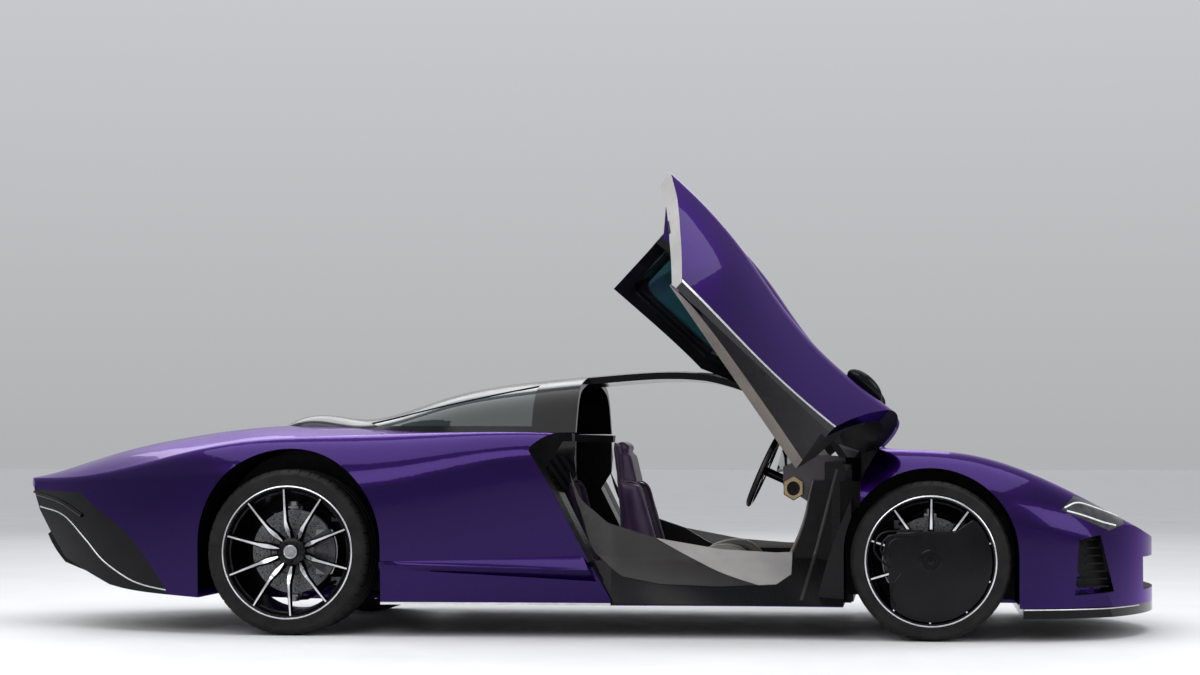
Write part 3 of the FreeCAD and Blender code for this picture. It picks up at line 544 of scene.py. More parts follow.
def add_disc(name, side, axle, radius):
    spot = corner_spot(side, axle, radius)
    bm = bmesh.new()
    ring = [
        (-0.118, 0.1795), (-0.118, 0.104), (-0.152, 0.104), (-0.152, 0.1795), (-0.142, 0.1795),
        (-0.140, 0.165),
        (-0.130, 0.165), (-0.128, 0.1795),
    ]
    lathe(bm, ring, 96, spot)
    hat = [
        (-0.1195, 0.108), (-0.1165, 0.100), (-0.110, 0.094), (-0.109, 0.036), (-0.114, 0.036),
        (-0.116, 0.090),
        (-0.126, 0.098), (-0.128, 0.108),
    ]
    lathe(bm, hat, 60, spot)
    piece = mesh_piece("vented_disc_" + name, bm, "disc_ceramic", "wheel_" + name)
    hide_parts("brake_disc_" + name)
    # Drilled holes drawn as flat black dots on both faces of each disc: painted shade in place of real holes.
    hole_shade = bmesh.new()
    for k in range(24):
        for row in range(4):
            turn = 2 * pi * (k + row * 0.25) / 24
            r = 0.117 + row * 0.0155
            for y in (-0.1176, -0.1524):
                hole_shade.faces.new(ring_at(hole_shade, spot, polar(r, turn), 0.0032, y, 8))
    mesh_piece("disc_holes_" + name, hole_shade, "satin_black", "wheel_" + name)


def add_caliper(name, side, axle, radius, body):
    spot = corner_spot(side, axle, radius)
    middle = pi / 2 if name.startswith("rear") else -pi / 2
    section = [
        (-0.112, 0.102), (-0.091, 0.101), (-0.0865, 0.115), (-0.086, 0.165), (-0.089, 0.192),
        (-0.100, 0.2045),
        (-0.170, 0.2045), (-0.181, 0.192), (-0.184, 0.165), (-0.184, 0.115), (-0.179, 0.101), (-0.158, 0.102),
        (-0.158, 0.1875), (-0.112, 0.1875),
    ]
    bm = bmesh.new()
    rows = []
    for k in range(13):
        share = k / 12 * 2 - 1
        pull = 1 - 0.03 * share ** 4
        turn = middle + radians(33) * share
        rows.append([bm.verts.new(spot(r * pull * sin(turn), y, r * pull * cos(turn)))
                     for y, r in section])
    hoop_faces(bm, rows, True)
    for share in (-0.7, -0.25, 0.25, 0.7):
        turn = middle + radians(33) * share
        add_stud(bm, spot, polar(0.145, turn), (0.016, -0.090), (0.013, -0.0835), 20)
    mesh_piece("caliper_" + name, bm, "caliper", body)


COVER_OUTLINE = [(0.107, 0.124), (0.168, 0.176)]
COVER_OUTLINE += [(0.252 * cos(radians(a)), 0.252 * sin(radians(a)))
                  for a in range(40, -131, -10)]
COVER_OUTLINE += [(-0.166, -0.170), (-0.172, -0.043), (-0.196, 0.030), (-0.180, 0.108), (-0.074, 0.124)]


def reach(outline, turn):
    """Distance from the middle to the outline in a direction."""
    dx, dz = cos(turn), sin(turn)
    best = 0.1
    for (x0, z0), (x1, z1) in zip(outline, outline[1:] + outline[:1]):
        ex, ez = x1 - x0, z1 - z0
        cross = dx * ez - dz * ex
        if abs(cross) < 1e-9:
            continue
        along = (x0 * ez - z0 * ex) / cross
        share = (x0 * dz - z0 * dx) / cross
        if along > 0 and -0.001 <= share <= 1.001:
            best = along
    return best


def add_cover(side):
    word = hand(side)
    spot = corner_spot(side, FRONT_AXLE, FRONT_RADIUS)
    bm = bmesh.new()
    shares = (0.16, 0.3, 0.5, 0.7, 0.85, 0.93, 0.97, 1.0)
    rows = []
    for turn in even_angles(144):
        far = reach(COVER_OUTLINE, turn)
        row = []
        for share in shares:
            r = far * share
            rise = 0.0055 + 0.0075 * (1 - (r / 0.26) ** 2)
            if share > 0.95:
                rise -= 0.0022 * (share - 0.95) / 0.05
            row.append(bm.verts.new(spot(r * cos(turn), rise, r * sin(turn))))
        for share in (0.997, 0.85, 0.16):
            row.append(bm.verts.new(spot(far * share * cos(turn), 0.0034, far * share * sin(turn))))
        rows.append(row)
    grid_faces(bm, rows, True, True)
    boss = [(0.0, 0.052), (0.0135, 0.050), (0.0155, 0.044), (0.0155, 0.033), (0.0120, 0.031), (0.0120, 0.020),
            (0.0165, 0.018), (0.0170, 0.002), (-0.056, 0.002), (-0.056, 0.024), (0.0, 0.026)]
    lathe(bm, boss, 60, spot)
    ribs = [
        [(-0.03, 0.124), (-0.12, 0.126), (-0.195, 0.118), (-0.226, 0.082), (-0.232, 0.045), (-0.205, 0.004),
         (-0.166, -0.028)],
        [(-0.06, 0.108), (-0.13, 0.110), (-0.176, 0.100), (-0.200, 0.070), (-0.204, 0.042), (-0.184, 0.012)],
        [(-0.08, 0.093), (-0.13, 0.094), (-0.158, 0.084), (-0.174, 0.060), (-0.176, 0.040), (-0.162, 0.016)],
        [(-0.12, -0.05), (-0.155, -0.10), (-0.163, -0.15), (-0.146, -0.186)],
    ]
    for rib in ribs:
        sweep_rod(bm, [spot(p.x, 0.0095, p.z) for p in side_path(rib)], 0.0042)
    for k in range(5):
        turn = 2 * pi * k / 5 + 0.3
        add_stud(bm, spot, polar(0.0385, turn), (0.004, 0.012), (0.0035, 0.0185), 6)
    piece = mesh_piece("static_cover_" + word, bm, "gloss_black", "upright_" + word, 38)
    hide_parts("wheel_cover_" + word)


for name, side, axle, radius, width, ring in CORNERS:
    add_tyre(name, side, axle, radius, width, ring)
    add_rim(name, side, axle, radius, width, ring, radians(-3.4 if name.startswith("rear") else 1.0))
    add_disc(name, side, axle, radius)
    add_caliper(name, side, axle, radius, "upright_" + hand(side) if name.startswith("front") else "car")
for side in SIDES:
    add_cover(side)


# Wheel wells: a black liner just inside each arch

ARCHES = [
    # node, axle, centre height, arch radius, inner wall, front end height, rear end height
    ("front_clam", FRONT_AXLE, 0.355, 0.362, 0.510, 0.15, 0.17),
    ("rear_clam", REAR_AXLE, 0.390, 0.408, 0.560, 0.17, 0.19),
]


def add_liner(node, axle, centre, arch, wall, low_front, low_rear, side):
    tree = surface(node)
    word = hand(side)
    inside = arch - 0.003
    path = [(axle + inside, low_front + (centre - low_front) * k / 4) for k in range(4)]
    path += [(axle + inside * cos(radians(a)), centre + inside * sin(radians(a)))
             for a in range(0, 181, 6)]
    path += [(axle - inside, centre - (centre - low_rear) * (k + 1) / 4) for k in range(4)]
    bm = bmesh.new()
    rows = []
    for x, z in path:
        out = Vector((x - axle, 0, max(z - centre, 0)))
        out.normalize()
        hit = side_hit(tree, x + out.x * 0.012, z + out.z * 0.012, side)
        edge = abs(hit.y) - 0.012 if hit is not None and abs(hit.y) > wall + 0.1 else 0.84
        steps = [wall + 0.003 + (edge - wall - 0.003) * k / 6 for k in range(7)]
        rows.append([bm.verts.new((x, side * y, z)) for y in steps])
    grid_faces(bm, rows)
    bmesh.ops.solidify(bm, geom=bm.faces[:], thickness=0.0015)
    fan = [bm.verts.new((x, side * (wall + 0.004), z)) for x, z in path]
    back = [bm.verts.new((x, side * (wall + 0.002), z)) for x, z in path]
    bm.faces.new(fan)
    bm.faces.new(list(reversed(back)))
    hoop_faces(bm, [fan, back])
    mesh_piece("arch_liner_%s_%s" % (node.split("_")[0], word), bm, "satin_black", "car")


for well in ARCHES:
    for side in SIDES:
        add_liner(*well, side)


# Doors: the closed door's coordinates, left side, turned to where the door stands open

HINGE_AT = Vector((1.25, 0.608, 0.853))
HINGE_LINE = Vector((0.799468, 0.442059, -0.406737))
DOOR_TURN = Matrix.Rotation(radians(DOOR_ANGLE), 3, HINGE_LINE)


def door_way(direction, side):
    v = DOOR_TURN @ Vector(direction)
    return Vector((v.x, v.y * side, v.z))


def door_spot(point, side):
    v = DOOR_TURN @ (Vector(point) - HINGE_AT) + HINGE_AT
    return Vector((v.x, v.y * side, v.z))


def shut_way(direction, side):
    return DOOR_TURN.transposed() @ Vector((direction.x, direction.y * side, direction.z))


def shut_spot(point, side):
    return DOOR_TURN.transposed() @ (Vector((point.x, point.y * side, point.z)) - HINGE_AT) + HINGE_AT


def door_cladding(name, node, side, keep, mat, slot, cuts=(), **more):
    """Thin skin on a door's node; keep() and the planes are in the closed door's coordinates."""
    word = hand(side)
    planes = [(door_spot(p, side), door_way(n, side)) for p, n in cuts]
    test = (lambda centre, normal: keep(shut_spot(centre, side), shut_way(normal, side)))
    cladding(name + "_" + word, node + "_" + word, test, mat, "door_" + word, slot, planes, **more)


def rounded_loop(corners, radius, steps=8):
    """Closed loop of straight runs with rounded corners."""
    loop = []
    count = len(corners)
    for i in range(count):
        before, here, after = (Vector(corners[(i + k) % count]) for k in (-1, 0, 1))
        a, b = (before - here).normalized(), (after - here).normalized()
        angle = a.angle(b)
        cut = radius / tan(angle / 2)
        middle = here + (a + b).normalized() * (radius / sin(angle / 2))
        start, end = here + a * cut, here + b * cut
        for k in range(steps + 1):
            way = (start - middle).slerp(end - middle, k / steps)
            loop.append(middle + way.normalized() * radius)
    return loop


BEIGE_FROM, BEIGE_TO = Vector((0.40, 0.830, 0)), Vector((1.10, 0.634, 0))
beige_run = (BEIGE_TO - BEIGE_FROM).normalized()
BEIGE_OUT = Vector((-beige_run.y, beige_run.x, 0))

for side in SIDES:
    door_cladding(
        "door_bright_edge", "door_shell", side, lambda c, n: n.y > 0.25 and c.z < 0.166,
        "silver", "rim_metal", [((0, 0, 0.162), (0, 0, 1))])
    # Pale grey skin on each door's rear shut face, which is purple paint: painted reflection of the light on
    # it.
    door_cladding(
        "door_shut_face", "door_shell", side, lambda c, n: n.x < -0.35 and c.x < 0.36,
        "pale_trim", "body_paint")
    door_cladding(
        "door_latch_plate", "door_shell", side, lambda c, n: n.x < -0.35 and c.x < 0.36,
        "satin_black", "suspension_metal",
        [((0, 0, 0.54), (0, 0, 1)), ((0, 0, 0.46), (0, 0, -1)), ((0, 0.895, 0), (0, 1, 0))], lift=0.0020)
    door_cladding(
        "door_underside", "door_shell", side, lambda c, n: n.z < -0.6 and c.z < 0.2,
        "door_grey", "trim_leather")
    # Black skin on the downward faces at the top front of each door: painted shade.
    door_cladding(
        "door_front_shade", "door_shell", side, lambda c, n: n.z < -0.4 and c.z > 0.6 and c.x > 0.85,
        "satin_black", "carbon")
    door_cladding(
        "door_beige_strip", "door_trim", side, lambda c, n: n.y < -0.2 and c.z < 0.47,
        "beige", "trim_leather", [(tuple(BEIGE_FROM), tuple(BEIGE_OUT))])


# Door openings: black returns in the panels round them

for side in SIDES:
    word = hand(side)
    middle = ((0, 0, 0), (0, -side, 0))
    cladding(
        "front_jamb_" + word, "front_clam", lambda c, n: n.x < -0.3 and c.x < 1.47 and c.z < 0.86,
        "satin_black", "car", "carbon", [middle])
    cladding(
        "rear_jamb_" + word, "rear_clam",
        lambda c, n: (n.x > 0.22 and c.x > -0.3 and abs(n.z) < 0.9
                      or n.y * c.y < -0.5 and c.x > -0.45 and c.z > 0.5 and abs(c.y) < 0.75),
        "satin_black", "car", "carbon", [middle])
    cladding(
        "sill_bright_line_" + word, "sill_blades", lambda c, n: n.y * side > 0.2 and c.z < 0.151,
        "silver", "car", "rim_metal", [middle, ((0, 0, 0.1475), (0, 0, 1)), ((0.25, 0, 0), (1, 0, 0))])


# Light strip down each front door post

def add_post_strip(side):
    """Runs down the front door post, and over the dark foot panel where the post has no surface."""
    word = hand(side)
    tree = surface("tub", "front_clam")
    points = []
    for k in range(1, 17):
        t = k / 16
        x, z = 1.205 - 0.155 * t, 0.745 - 0.585 * t
        hit = side_hit(tree, x, z, side, 0.0008)
        y = 0.558 if hit is None else max(abs(hit.y), 0.558)
        points.append((x, side * y, z))
    tube("post_strip_" + word, smooth_path(points, 3), 0.008, "rubber_seal", "car", 8, 0.22)


# Sills: leather panels on the slope inside each door

def sill_slope(x):
    """Foot and top of the sill's slope, (y, z) pairs, at a place along the door."""
    share = min(max((x - 0.24) / 0.94, 0), 1)
    return (0.850, 0.142), (0.774 - 0.242 * share, 0.318 + 0.010 * share)


PANEL_LOW = [
    (0.10, 0.50), (0.16, 0.36), (0.28, 0.255), (0.45, 0.222), (0.70, 0.212), (0.94, 0.222), (1.00, 0.262),
]
PANEL_HIGH = [
    (0.04, 0.72), (0.10, 0.58), (0.22, 0.48), (0.42, 0.415), (0.70, 0.365), (0.93, 0.350), (1.00, 0.352),
]


def level(table, x):
    """Height of a table of (x, z) at x, level beyond its ends."""
    for (x0, z0), (x1, z1) in zip(table, table[1:]):
        if x <= x1:
            break
    return z0 + (z1 - z0) * min(max((x - x0) / (x1 - x0), 0), 1)


def sill_panel_point(x, share, side):
    low, high = level(PANEL_LOW, x), level(PANEL_HIGH, x)
    z = low + (high - low) * share
    (foot_y, foot_z), (top_y, top_z) = sill_slope(x)
    if z <= top_z:
        y = foot_y + (top_y - foot_y) * (z - foot_z) / (top_z - foot_z)
    else:
        y = top_y - (z - top_z) * 0.16
    return Vector((x, side * (y + 0.0022), z + 0.0012))


def add_sill_panel(name, side, starts, ends, mat):
    bm = bmesh.new()
    rows = []
    for i in range(25):
        row = []
        for k in range(13):
            share = k / 12
            first = starts[0] + (starts[1] - starts[0]) * share
            last = ends[0] + (ends[1] - ends[0]) * share
            row.append(bm.verts.new(sill_panel_point(first + (last - first) * i / 24, share, side)))
        rows.append(row)
    grid_faces(bm, rows)
    bmesh.ops.recalc_face_normals(bm, faces=bm.faces[:])
    if bm.faces[0].normal.y * side < 0:
        bmesh.ops.reverse_faces(bm, faces=bm.faces[:])
    bmesh.ops.solidify(bm, geom=bm.faces[:], thickness=0.004)
    word = hand(side)
    mesh_piece(name + "_" + word, bm, mat, "car", 40)


for side in SIDES:
    add_post_strip(side)
    add_sill_panel("sill_rear_panel", side, (0.14, 0.05), (0.86, 0.42), "brown_trim")
    add_sill_panel("sill_front_panel", side, (0.865, 0.425), (1.00, 1.00), "pale_trim")


# Tail: bright edges, lamps and fins

BLADE_EDGE = [
    (-2.44, 0.535), (-2.28, 0.500), (-2.14, 0.395), (-2.04, 0.307), (-1.91, 0.235), (-1.82, 0.205),
    (-1.70, 0.185),
]
TAIL_EDGE = [(-2.46, 0.592), (-2.30, 0.560), (-2.16, 0.500)]
SPLITTER_EDGE = [(1.94, 0.1325), (2.10, 0.1325), (2.28, 0.1325), (2.42, 0.1325), (2.47, 0.1325)]


def add_edge(name, nodes, points, side, radius, mat):
    hits = hits_along(surface(*nodes), side_path(points), side, radius * 0.3)
    tube(name + "_" + hand(side), hits, radius, mat, "car")


for side in SIDES:
    add_edge("tail_blade_edge", ["tail_fascia", "rear_clam"], BLADE_EDGE, side, 0.0035, "silver")
    add_edge("splitter_edge", ["splitter"], SPLITTER_EDGE, side, 0.003, "silver")
    add_edge("tail_winglet", ["tail_fascia", "rear_clam"], TAIL_EDGE, side, 0.009, "gloss_black")


def rear_hit(tree, y, z):
    hit, _, _, _ = tree.ray_cast(Vector((-4, y, z)), Vector((1, 0, 0)))
    return hit


def add_tail_lamp(side):
    tree = surface("tail_fascia", "rear_clam")
    hits = [rear_hit(tree, side * (0.06 + 0.034 * k), 0.600) for k in range(9)]
    points = [hit + Vector((-0.002, 0, 0)) for hit in hits if hit is not None]
    tube("tail_lamp_" + hand(side), points, 0.006, "red_glass", "car")


def add_fins():
    """Thin upright blades on the slope under the tail, each standing a little off the fascia."""
    tree = surface("tail_fascia")
    bm = bmesh.new()
    for y in (-0.42, -0.21, 0.0, 0.21, 0.42):
        line = [rear_hit(tree, y, 0.200 + 0.028 * k) for k in range(9)]
        line = [hit for hit in line if hit is not None]
        rows = []
        for dy in (-0.004, 0.004):
            row = []
            for k, hit in enumerate(line):
                height = 0.040 * sin(pi * (k + 0.4) / len(line)) ** 0.5
                row.append(bm.verts.new((hit.x - height * 0.75, y + dy, hit.z - height * 0.66)))
            row += [bm.verts.new((hit.x + 0.006, y + dy, hit.z + 0.004)) for hit in reversed(line)]
            rows.append(row)
        hoop_faces(bm, rows, True)
    mesh_piece("diffuser_fins", bm, "carbon", "car")


for side in SIDES:
    add_tail_lamp(side)
add_fins()


# Nose: lamp strips and grilles

def add_lamp_strips(side):
    tree = surface("headlamps")
    word = hand(side)
    paths = [
        [(2.140, 0.552), (2.20, 0.572), (2.29, 0.545), (2.375, 0.512)],
        [(2.150, 0.540), (2.22, 0.520), (2.30, 0.492), (2.36, 0.476)],
    ]
    for number, path in enumerate(paths):
        hits = hits_along(tree, side_path(path), side, 0.0006)
        tube("lamp_strip_%d_%s" % (number, word), hits, 0.0038, "lamp_white", "car")


def add_inlet_grille(side):
    tree = surface("front_clam")
    word = hand(side)
    bm = bmesh.new()
    for k in range(7):
        z = 0.225 + 0.032 * k
        start, end = 2.206 + 0.0017 * k, 2.308 - 0.0064 * k
        path = [Vector((start * (1 - i / 6) + end * (i / 6), 0, z)) for i in range(7)]
        sweep_rod(bm, hits_along(tree, path, side, 0.030), 0.0035, 6)
    mesh_piece("inlet_grille_" + word, bm, "satin_black", "car")

    def inside_inlet(c, n):
        if not (2.195 < c.x < 2.335 and 0.19 < c.z < 0.455 and c.y * side > 0.5):
            return False
        behind, ahead = side_hit(tree, 2.185, c.z, side), side_hit(tree, 2.345, c.z, side)
        if behind is None or ahead is None:
            return False
        share = (c.x - 2.185) / 0.160
        return abs(c.y) < abs(behind.y) * (1 - share) + abs(ahead.y) * share - 0.0015

    cladding("inlet_lining_" + word, "front_clam", inside_inlet, "satin_black", "car", "gloss_black")


def add_nose_grille():
    bm = bmesh.new()
    for k in range(6):
        z = 0.212 + 0.022 * k
        rows = []
        for x, dz in ((2.474, -0.002), (2.512, -0.005), (2.512, -0.002), (2.474, 0.001)):
            rows.append([bm.verts.new((x - 0.03 * (y / 0.42) ** 2, y, z + dz))
                         for y in [-0.418 + 0.0836 * i for i in range(11)]])
        grid_faces(bm, rows, True)
        for end in (0, -1):
            bm.faces.new([row[end] for row in rows])
    mesh_piece("nose_grille", bm, "satin_black", "car")


cladding(
    "nose_slot_lining", "front_clam",
    lambda c, n: (c.x > 2.44 and abs(c.y) < 0.425 and 0.194 < c.z < 0.336
                  and (n.x > 0.9 and c.x < 2.47 or abs(n.z) > 0.9 or abs(n.y) > 0.9)),
    "satin_black", "car", "gloss_black")
for side in SIDES:
    add_lamp_strips(side)
    add_inlet_grille(side)
add_nose_grille()


# Dark panels between each front door post and the wing

TYRE_REACH = 0.345
LOCK_COSINE = 0.883
TYRE_ROOM = 0.070


def add_post_panel(side):
    """Its front edge keeps clear of the tyre at full lock, and its top of the closed door."""
    bm = bmesh.new()
    rows = []
    for k in range(15):
        z = 0.150 + 0.0365 * k
        chord = sqrt(max(TYRE_REACH ** 2 - (z - FRONT_RADIUS) ** 2, 0))
        end = min(FRONT_AXLE - LOCK_COSINE * chord - TYRE_ROOM, 1.322)
        row = []
        for share, y in ((0, 0.770), (0.3, 0.788), (0.6, 0.794), (1, 0.796)):
            row.append(bm.verts.new((1.212 + (end - 1.212) * share, side * y, z)))
        rows.append(row)
    grid_faces(bm, rows)
    bmesh.ops.solidify(bm, geom=bm.faces[:], thickness=0.003)
    mesh_piece("post_panel_" + hand(side), bm, "satin_black", "car")


def add_cowl_screen(side):
    """Dark sheet under the cowl, so that nothing shows through between door post and wing."""
    bm = bmesh.new()
    rows = []
    for x, y in ((1.235, 0.512), (1.290, 0.506), (1.350, 0.502), (1.420, 0.500)):
        rows.append([bm.verts.new((x, side * y, 0.640 + 0.0375 * k)) for k in range(5)])
    grid_faces(bm, rows)
    bmesh.ops.solidify(bm, geom=bm.faces[:], thickness=0.002)
    mesh_piece("cowl_screen_" + hand(side), bm, "satin_black", "car")


for side in SIDES:
    add_cowl_screen(side)
    add_post_panel(side)


# Windows of the doors: a black border with rounded corners on the inside of the glass

SEAL_OUTER = [(0.130, 0.305, 0), (0.130, 0.650, 0), (0.550, 0.675, 0), (1.110, 0.602, 0), (0.585, 0.305, 0)]
SEAL_INNER = [(0.168, 0.350, 0), (0.168, 0.608, 0), (0.550, 0.632, 0), (0.985, 0.582, 0), (0.572, 0.350, 0)]


def add_window_border(side):
    word = hand(side)
    tree = surface("door_glass_" + word, "door_frame_" + word, way=lambda point: shut_spot(point, side))
    bm = bmesh.new()
    loops = (rounded_loop(SEAL_INNER, 0.055), rounded_loop(SEAL_OUTER, 0.02))
    rows = []
    for share in (0.0, 0.25, 0.5, 0.75, 1.0):
        row, last = [], 1.0
        for near, far in zip(*loops):
            spot = near.lerp(far, share)
            hit, _, _, _ = tree.ray_cast(Vector((spot.x, spot.y, 0.60)), Vector((0, 0, 1)))
            last = hit.z if hit is not None else last
            row.append(bm.verts.new(door_spot((spot.x, spot.y, last - 0.0035), side)))
        rows.append(row)
    hoop_faces(bm, rows)
    bmesh.ops.recalc_face_normals(bm, faces=bm.faces[:])
    bmesh.ops.solidify(bm, geom=bm.faces[:], thickness=0.002)
    mesh_piece("window_border_" + word, bm, "gloss_black", "door_" + word)


# Front ends of the openings: a dark panel with a pale band on its edge

FOOT_EDGE = [
    (0.962, 0.300), (0.990, 0.339), (1.020, 0.404), (1.045, 0.470), (1.062, 0.530), (1.072, 0.585),
    (1.090, 0.660),
]


def add_foot_panel(side):
    word = hand(side)
    edge = side_path(FOOT_EDGE)
    bm = bmesh.new()
    rows = []
    for y in (0.548, 0.556):
        row = []
        for p in edge:
            row.append([bm.verts.new((p.x + (1.235 - p.x) * k / 4, side * y, p.z)) for k in range(5)])
        rows.append(row)
    for row in rows:
        grid_faces(bm, row)
    for pick in (0, -1):
        grid_faces(bm, [[r[pick] for r in rows[0]], [r[pick] for r in rows[1]]])
        grid_faces(bm, [rows[0][pick], rows[1][pick]])
    mesh_piece("foot_panel_" + word, bm, "satin_black", "car")
    band = bmesh.new()
    rows = []
    for k, p in enumerate(edge):
        wide = 0.020 - 0.013 * k / (len(edge) - 1)
        section = ((-0.5, 0.550), (-0.4, 0.560), (0.0, 0.563), (0.4, 0.560), (0.5, 0.556), (0.0, 0.547))
        rows.append([band.verts.new((p.x + wide * a, side * y, p.z)) for a, y in section])
    hoop_faces(band, rows, True)
    mesh_piece("foot_band_" + word, band, "grey_trim", "car", 50)


# Body sides: a ledge that widens towards the door over the joint of body and blade

def add_side_ledge(side):
    word = hand(side)
    tree = surface("rear_clam", "sill_blades")
    bm = bmesh.new()
    rows = []
    high_y, low_y, slope = 0.955, 0.950, 0.1
    for i in range(33):
        t = i / 32
        x = -0.735 + 0.925 * t
        top = 0.317 + 0.030 * t
        low = top - 0.028 - 0.080 * t
        high_hit = side_hit(tree, x, top + 0.040, side)
        low_hit = side_hit(tree, x, low - 0.010, side)
        if high_hit is not None and low_hit is not None:
            slope = (abs(high_hit.y) - abs(low_hit.y)) / (top + 0.050 - low)
            high_y = abs(high_hit.y) - slope * 0.040
            low_y = abs(low_hit.y) + slope * 0.010
        out = 0.0015 + 0.042 * t
        drop = 0.010 + 0.046 * t
        face = high_y - slope * drop
        section = (
            (high_y - 0.004, top + 0.002), (high_y + 0.0016, top), (face + out * 0.93, top - drop + 0.002),
            (face + out, top - drop - 0.002), (face + out * 0.93, top - drop - 0.006),
            (low_y + 0.0012, low), (low_y - 0.004, low))
        rows.append([bm.verts.new((x - 0.5 * (z - low) * t ** 3, side * y, z)) for y, z in section])
    hoop_faces(bm, rows, True)
    mesh_piece("side_ledge_" + word, bm, "body_paint", "car", 60)


for side in SIDES:
    add_window_border(side)
    add_foot_panel(side)
    add_side_ledge(side)


# Seats: padded shells, remeshed, filled by a cloth simulation, then piped and stitched

SEATS = [
    # name, shift along x, middle y, half width, node it stands for
    ("driver", 0.330, 0.0, 0.235, "driver_seat"),
    ("passenger_left", -0.030, 0.440, 0.180, "passenger_seats"),
]
SEAT_LIFT = -0.0247
SEAT_VOXEL = 0.0078
CLOTH_FRAMES = 16
SEAT_PADS = [
    # side outline (x, z), inner and outer share of the half width
    ([(0.055, 0.215), (0.425, 0.215), (0.452, 0.292), (0.425, 0.330), (0.110, 0.276)], -0.66, 0.66),
    ([(0.010, 0.205), (0.445, 0.205), (0.468, 0.318), (0.430, 0.342), (0.200, 0.318), (0.085, 0.300)],
     0.72, 0.95),
    ([(-0.075, 0.235), (0.050, 0.262), (-0.015, 0.430), (-0.055, 0.620), (-0.125, 0.640), (-0.112, 0.540)],
     -0.64, 0.64),
    ([(-0.060, 0.220), (0.072, 0.290), (0.006, 0.520), (-0.035, 0.655), (-0.125, 0.680), (-0.108, 0.540)],
     0.70, 0.95),
    ([(-0.060, 0.665), (-0.092, 0.800), (-0.140, 0.800), (-0.128, 0.665)], -0.60, 0.60),
    ([(-0.096, 0.815), (-0.108, 0.865), (-0.142, 0.865), (-0.140, 0.815)], -0.46, 0.46),
    ([(-0.118, 0.240), (-0.050, 0.230), (-0.110, 0.560), (-0.140, 0.860), (-0.150, 0.860), (-0.118, 0.560)],
     -0.86, 0.86),
]


def add_prism(bm, outline, y0, y1, bevel):
    part = bmesh.new()
    rows = [[part.verts.new((x, y, z)) for x, z in outline] for y in (y0, y1)]
    hoop_faces(part, rows, True)
    bmesh.ops.recalc_face_normals(part, faces=part.faces[:])
    bmesh.ops.bevel(part, geom=part.edges[:], offset=bevel, segments=3, affect="EDGES", profile=0.6)
    mesh = bpy.data.meshes.new("part")
    part.to_mesh(mesh)
    part.free()
    bm.from_mesh(mesh)
    bpy.data.meshes.remove(mesh)


def seat_blank(name, shift, middle, half):
    bm = bmesh.new()
    for outline, first, last in SEAT_PADS:
        moved = [(x + shift, z + SEAT_LIFT) for x, z in outline]
        spans = [(first, last)] if first < 0 else [(first, last), (-last, -first)]
        for a, b in spans:
            add_prism(bm, moved, middle + a * half, middle + b * half, 0.014)
    return object_of(name, bm)


def applied(obj):
    """The object's mesh with its modifiers worked in."""
    graph = bpy.context.evaluated_depsgraph_get()
    mesh = bpy.data.meshes.new_from_object(obj.evaluated_get(graph))
    obj.modifiers.clear()
    obj.data = mesh
    return mesh


def fill_seat(obj, most):
    """Let the pad swell like filled leather, by no more than a distance."""
    remesh = obj.modifiers.new("remesh", "REMESH")
    remesh.mode = "VOXEL"
    remesh.voxel_size = SEAT_VOXEL
    applied(obj)
    before = [v.co.copy() for v in obj.data.vertices]
    cloth = obj.modifiers.new("cloth", "CLOTH")
    settings = cloth.settings
    settings.quality = 4
    settings.mass = 0.3
    settings.tension_stiffness = 18
    settings.compression_stiffness = 18
    settings.bending_stiffness = 0.4
    settings.use_pressure = True
    settings.uniform_pressure_force = 4.0
    settings.effector_weights.gravity = 0.0
    cloth.collision_settings.use_collision = False
    cloth.point_cache.frame_start = 1
    cloth.point_cache.frame_end = CLOTH_FRAMES
    for moment in range(1, CLOTH_FRAMES + 1):
        bpy.context.scene.frame_set(moment)
    applied(obj)
    bpy.context.scene.frame_set(1)
    for vert, start in zip(obj.data.vertices, before):
        step = vert.co - start
        if step.length > most:
            vert.co = start + step * (most / step.length)
    smooth = obj.modifiers.new("smooth", "SMOOTH")
    smooth.factor = 0.5
    smooth.iterations = 6
    applied(obj)
    obj.data.shade_smooth()


def seat_finish(obj, name, node):
    obj.name = name
    obj.data.materials.clear()
    obj.data.materials.append(MATERIALS["seat_leather"])
    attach(obj, "car")
    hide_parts(node)


def seat_piping(name, shift, middle, half):
    """Raised seams round the cushions and stitched channels across them."""
    bm = bmesh.new()
    for index, share in ((1, 0.70), (3, 0.68)):
        outline = [(x + shift, z + SEAT_LIFT) for x, z in SEAT_PADS[index][0]]
        for mirror in (1, -1):
            path = [Vector((x, middle + mirror * share * half, z)) for x, z in outline[1:-1]]
            sweep_rod(bm, smooth_path(path, 5), 0.0035, 6)
    for k in range(4):
        x0 = 0.16 + 0.07 * k + shift
        z0 = 0.292 + 0.009 * k + SEAT_LIFT + 0.006
        sweep_rod(bm, [Vector((x0, middle + half * s, z0)) for s in (-0.6, -0.3, 0, 0.3, 0.6)], 0.0022, 6)
        share = 0.2 + 0.2 * k
        x1 = 0.040 - 0.088 * share + shift
        z1 = 0.290 + 0.33 * share + SEAT_LIFT
        sweep_rod(bm, [Vector((x1 + 0.002, middle + half * s, z1)) for s in (-0.58, -0.3, 0, 0.3, 0.58)],
                  0.0022, 6)
    mesh_piece(name, bm, "seat_piping", "car", 60)


for name, shift, middle, half, node in SEATS:
    seat = seat_blank("seat_" + name, shift, middle, half)
    fill_seat(seat, 0.010)
    if middle:
        other = seat.copy()
        other.data = seat.data.copy()
        for vert in other.data.vertices:
            vert.co.y = -vert.co.y
        other.data.flip_normals()
        bpy.context.scene.collection.objects.link(other)
        seat_finish(other, "seat_passenger_right", node)
        seat_piping("seat_piping_passenger_right", shift, -middle, half)
    seat_finish(seat, "seat_" + name, node)
    seat_piping("seat_piping_" + name, shift, middle, half)
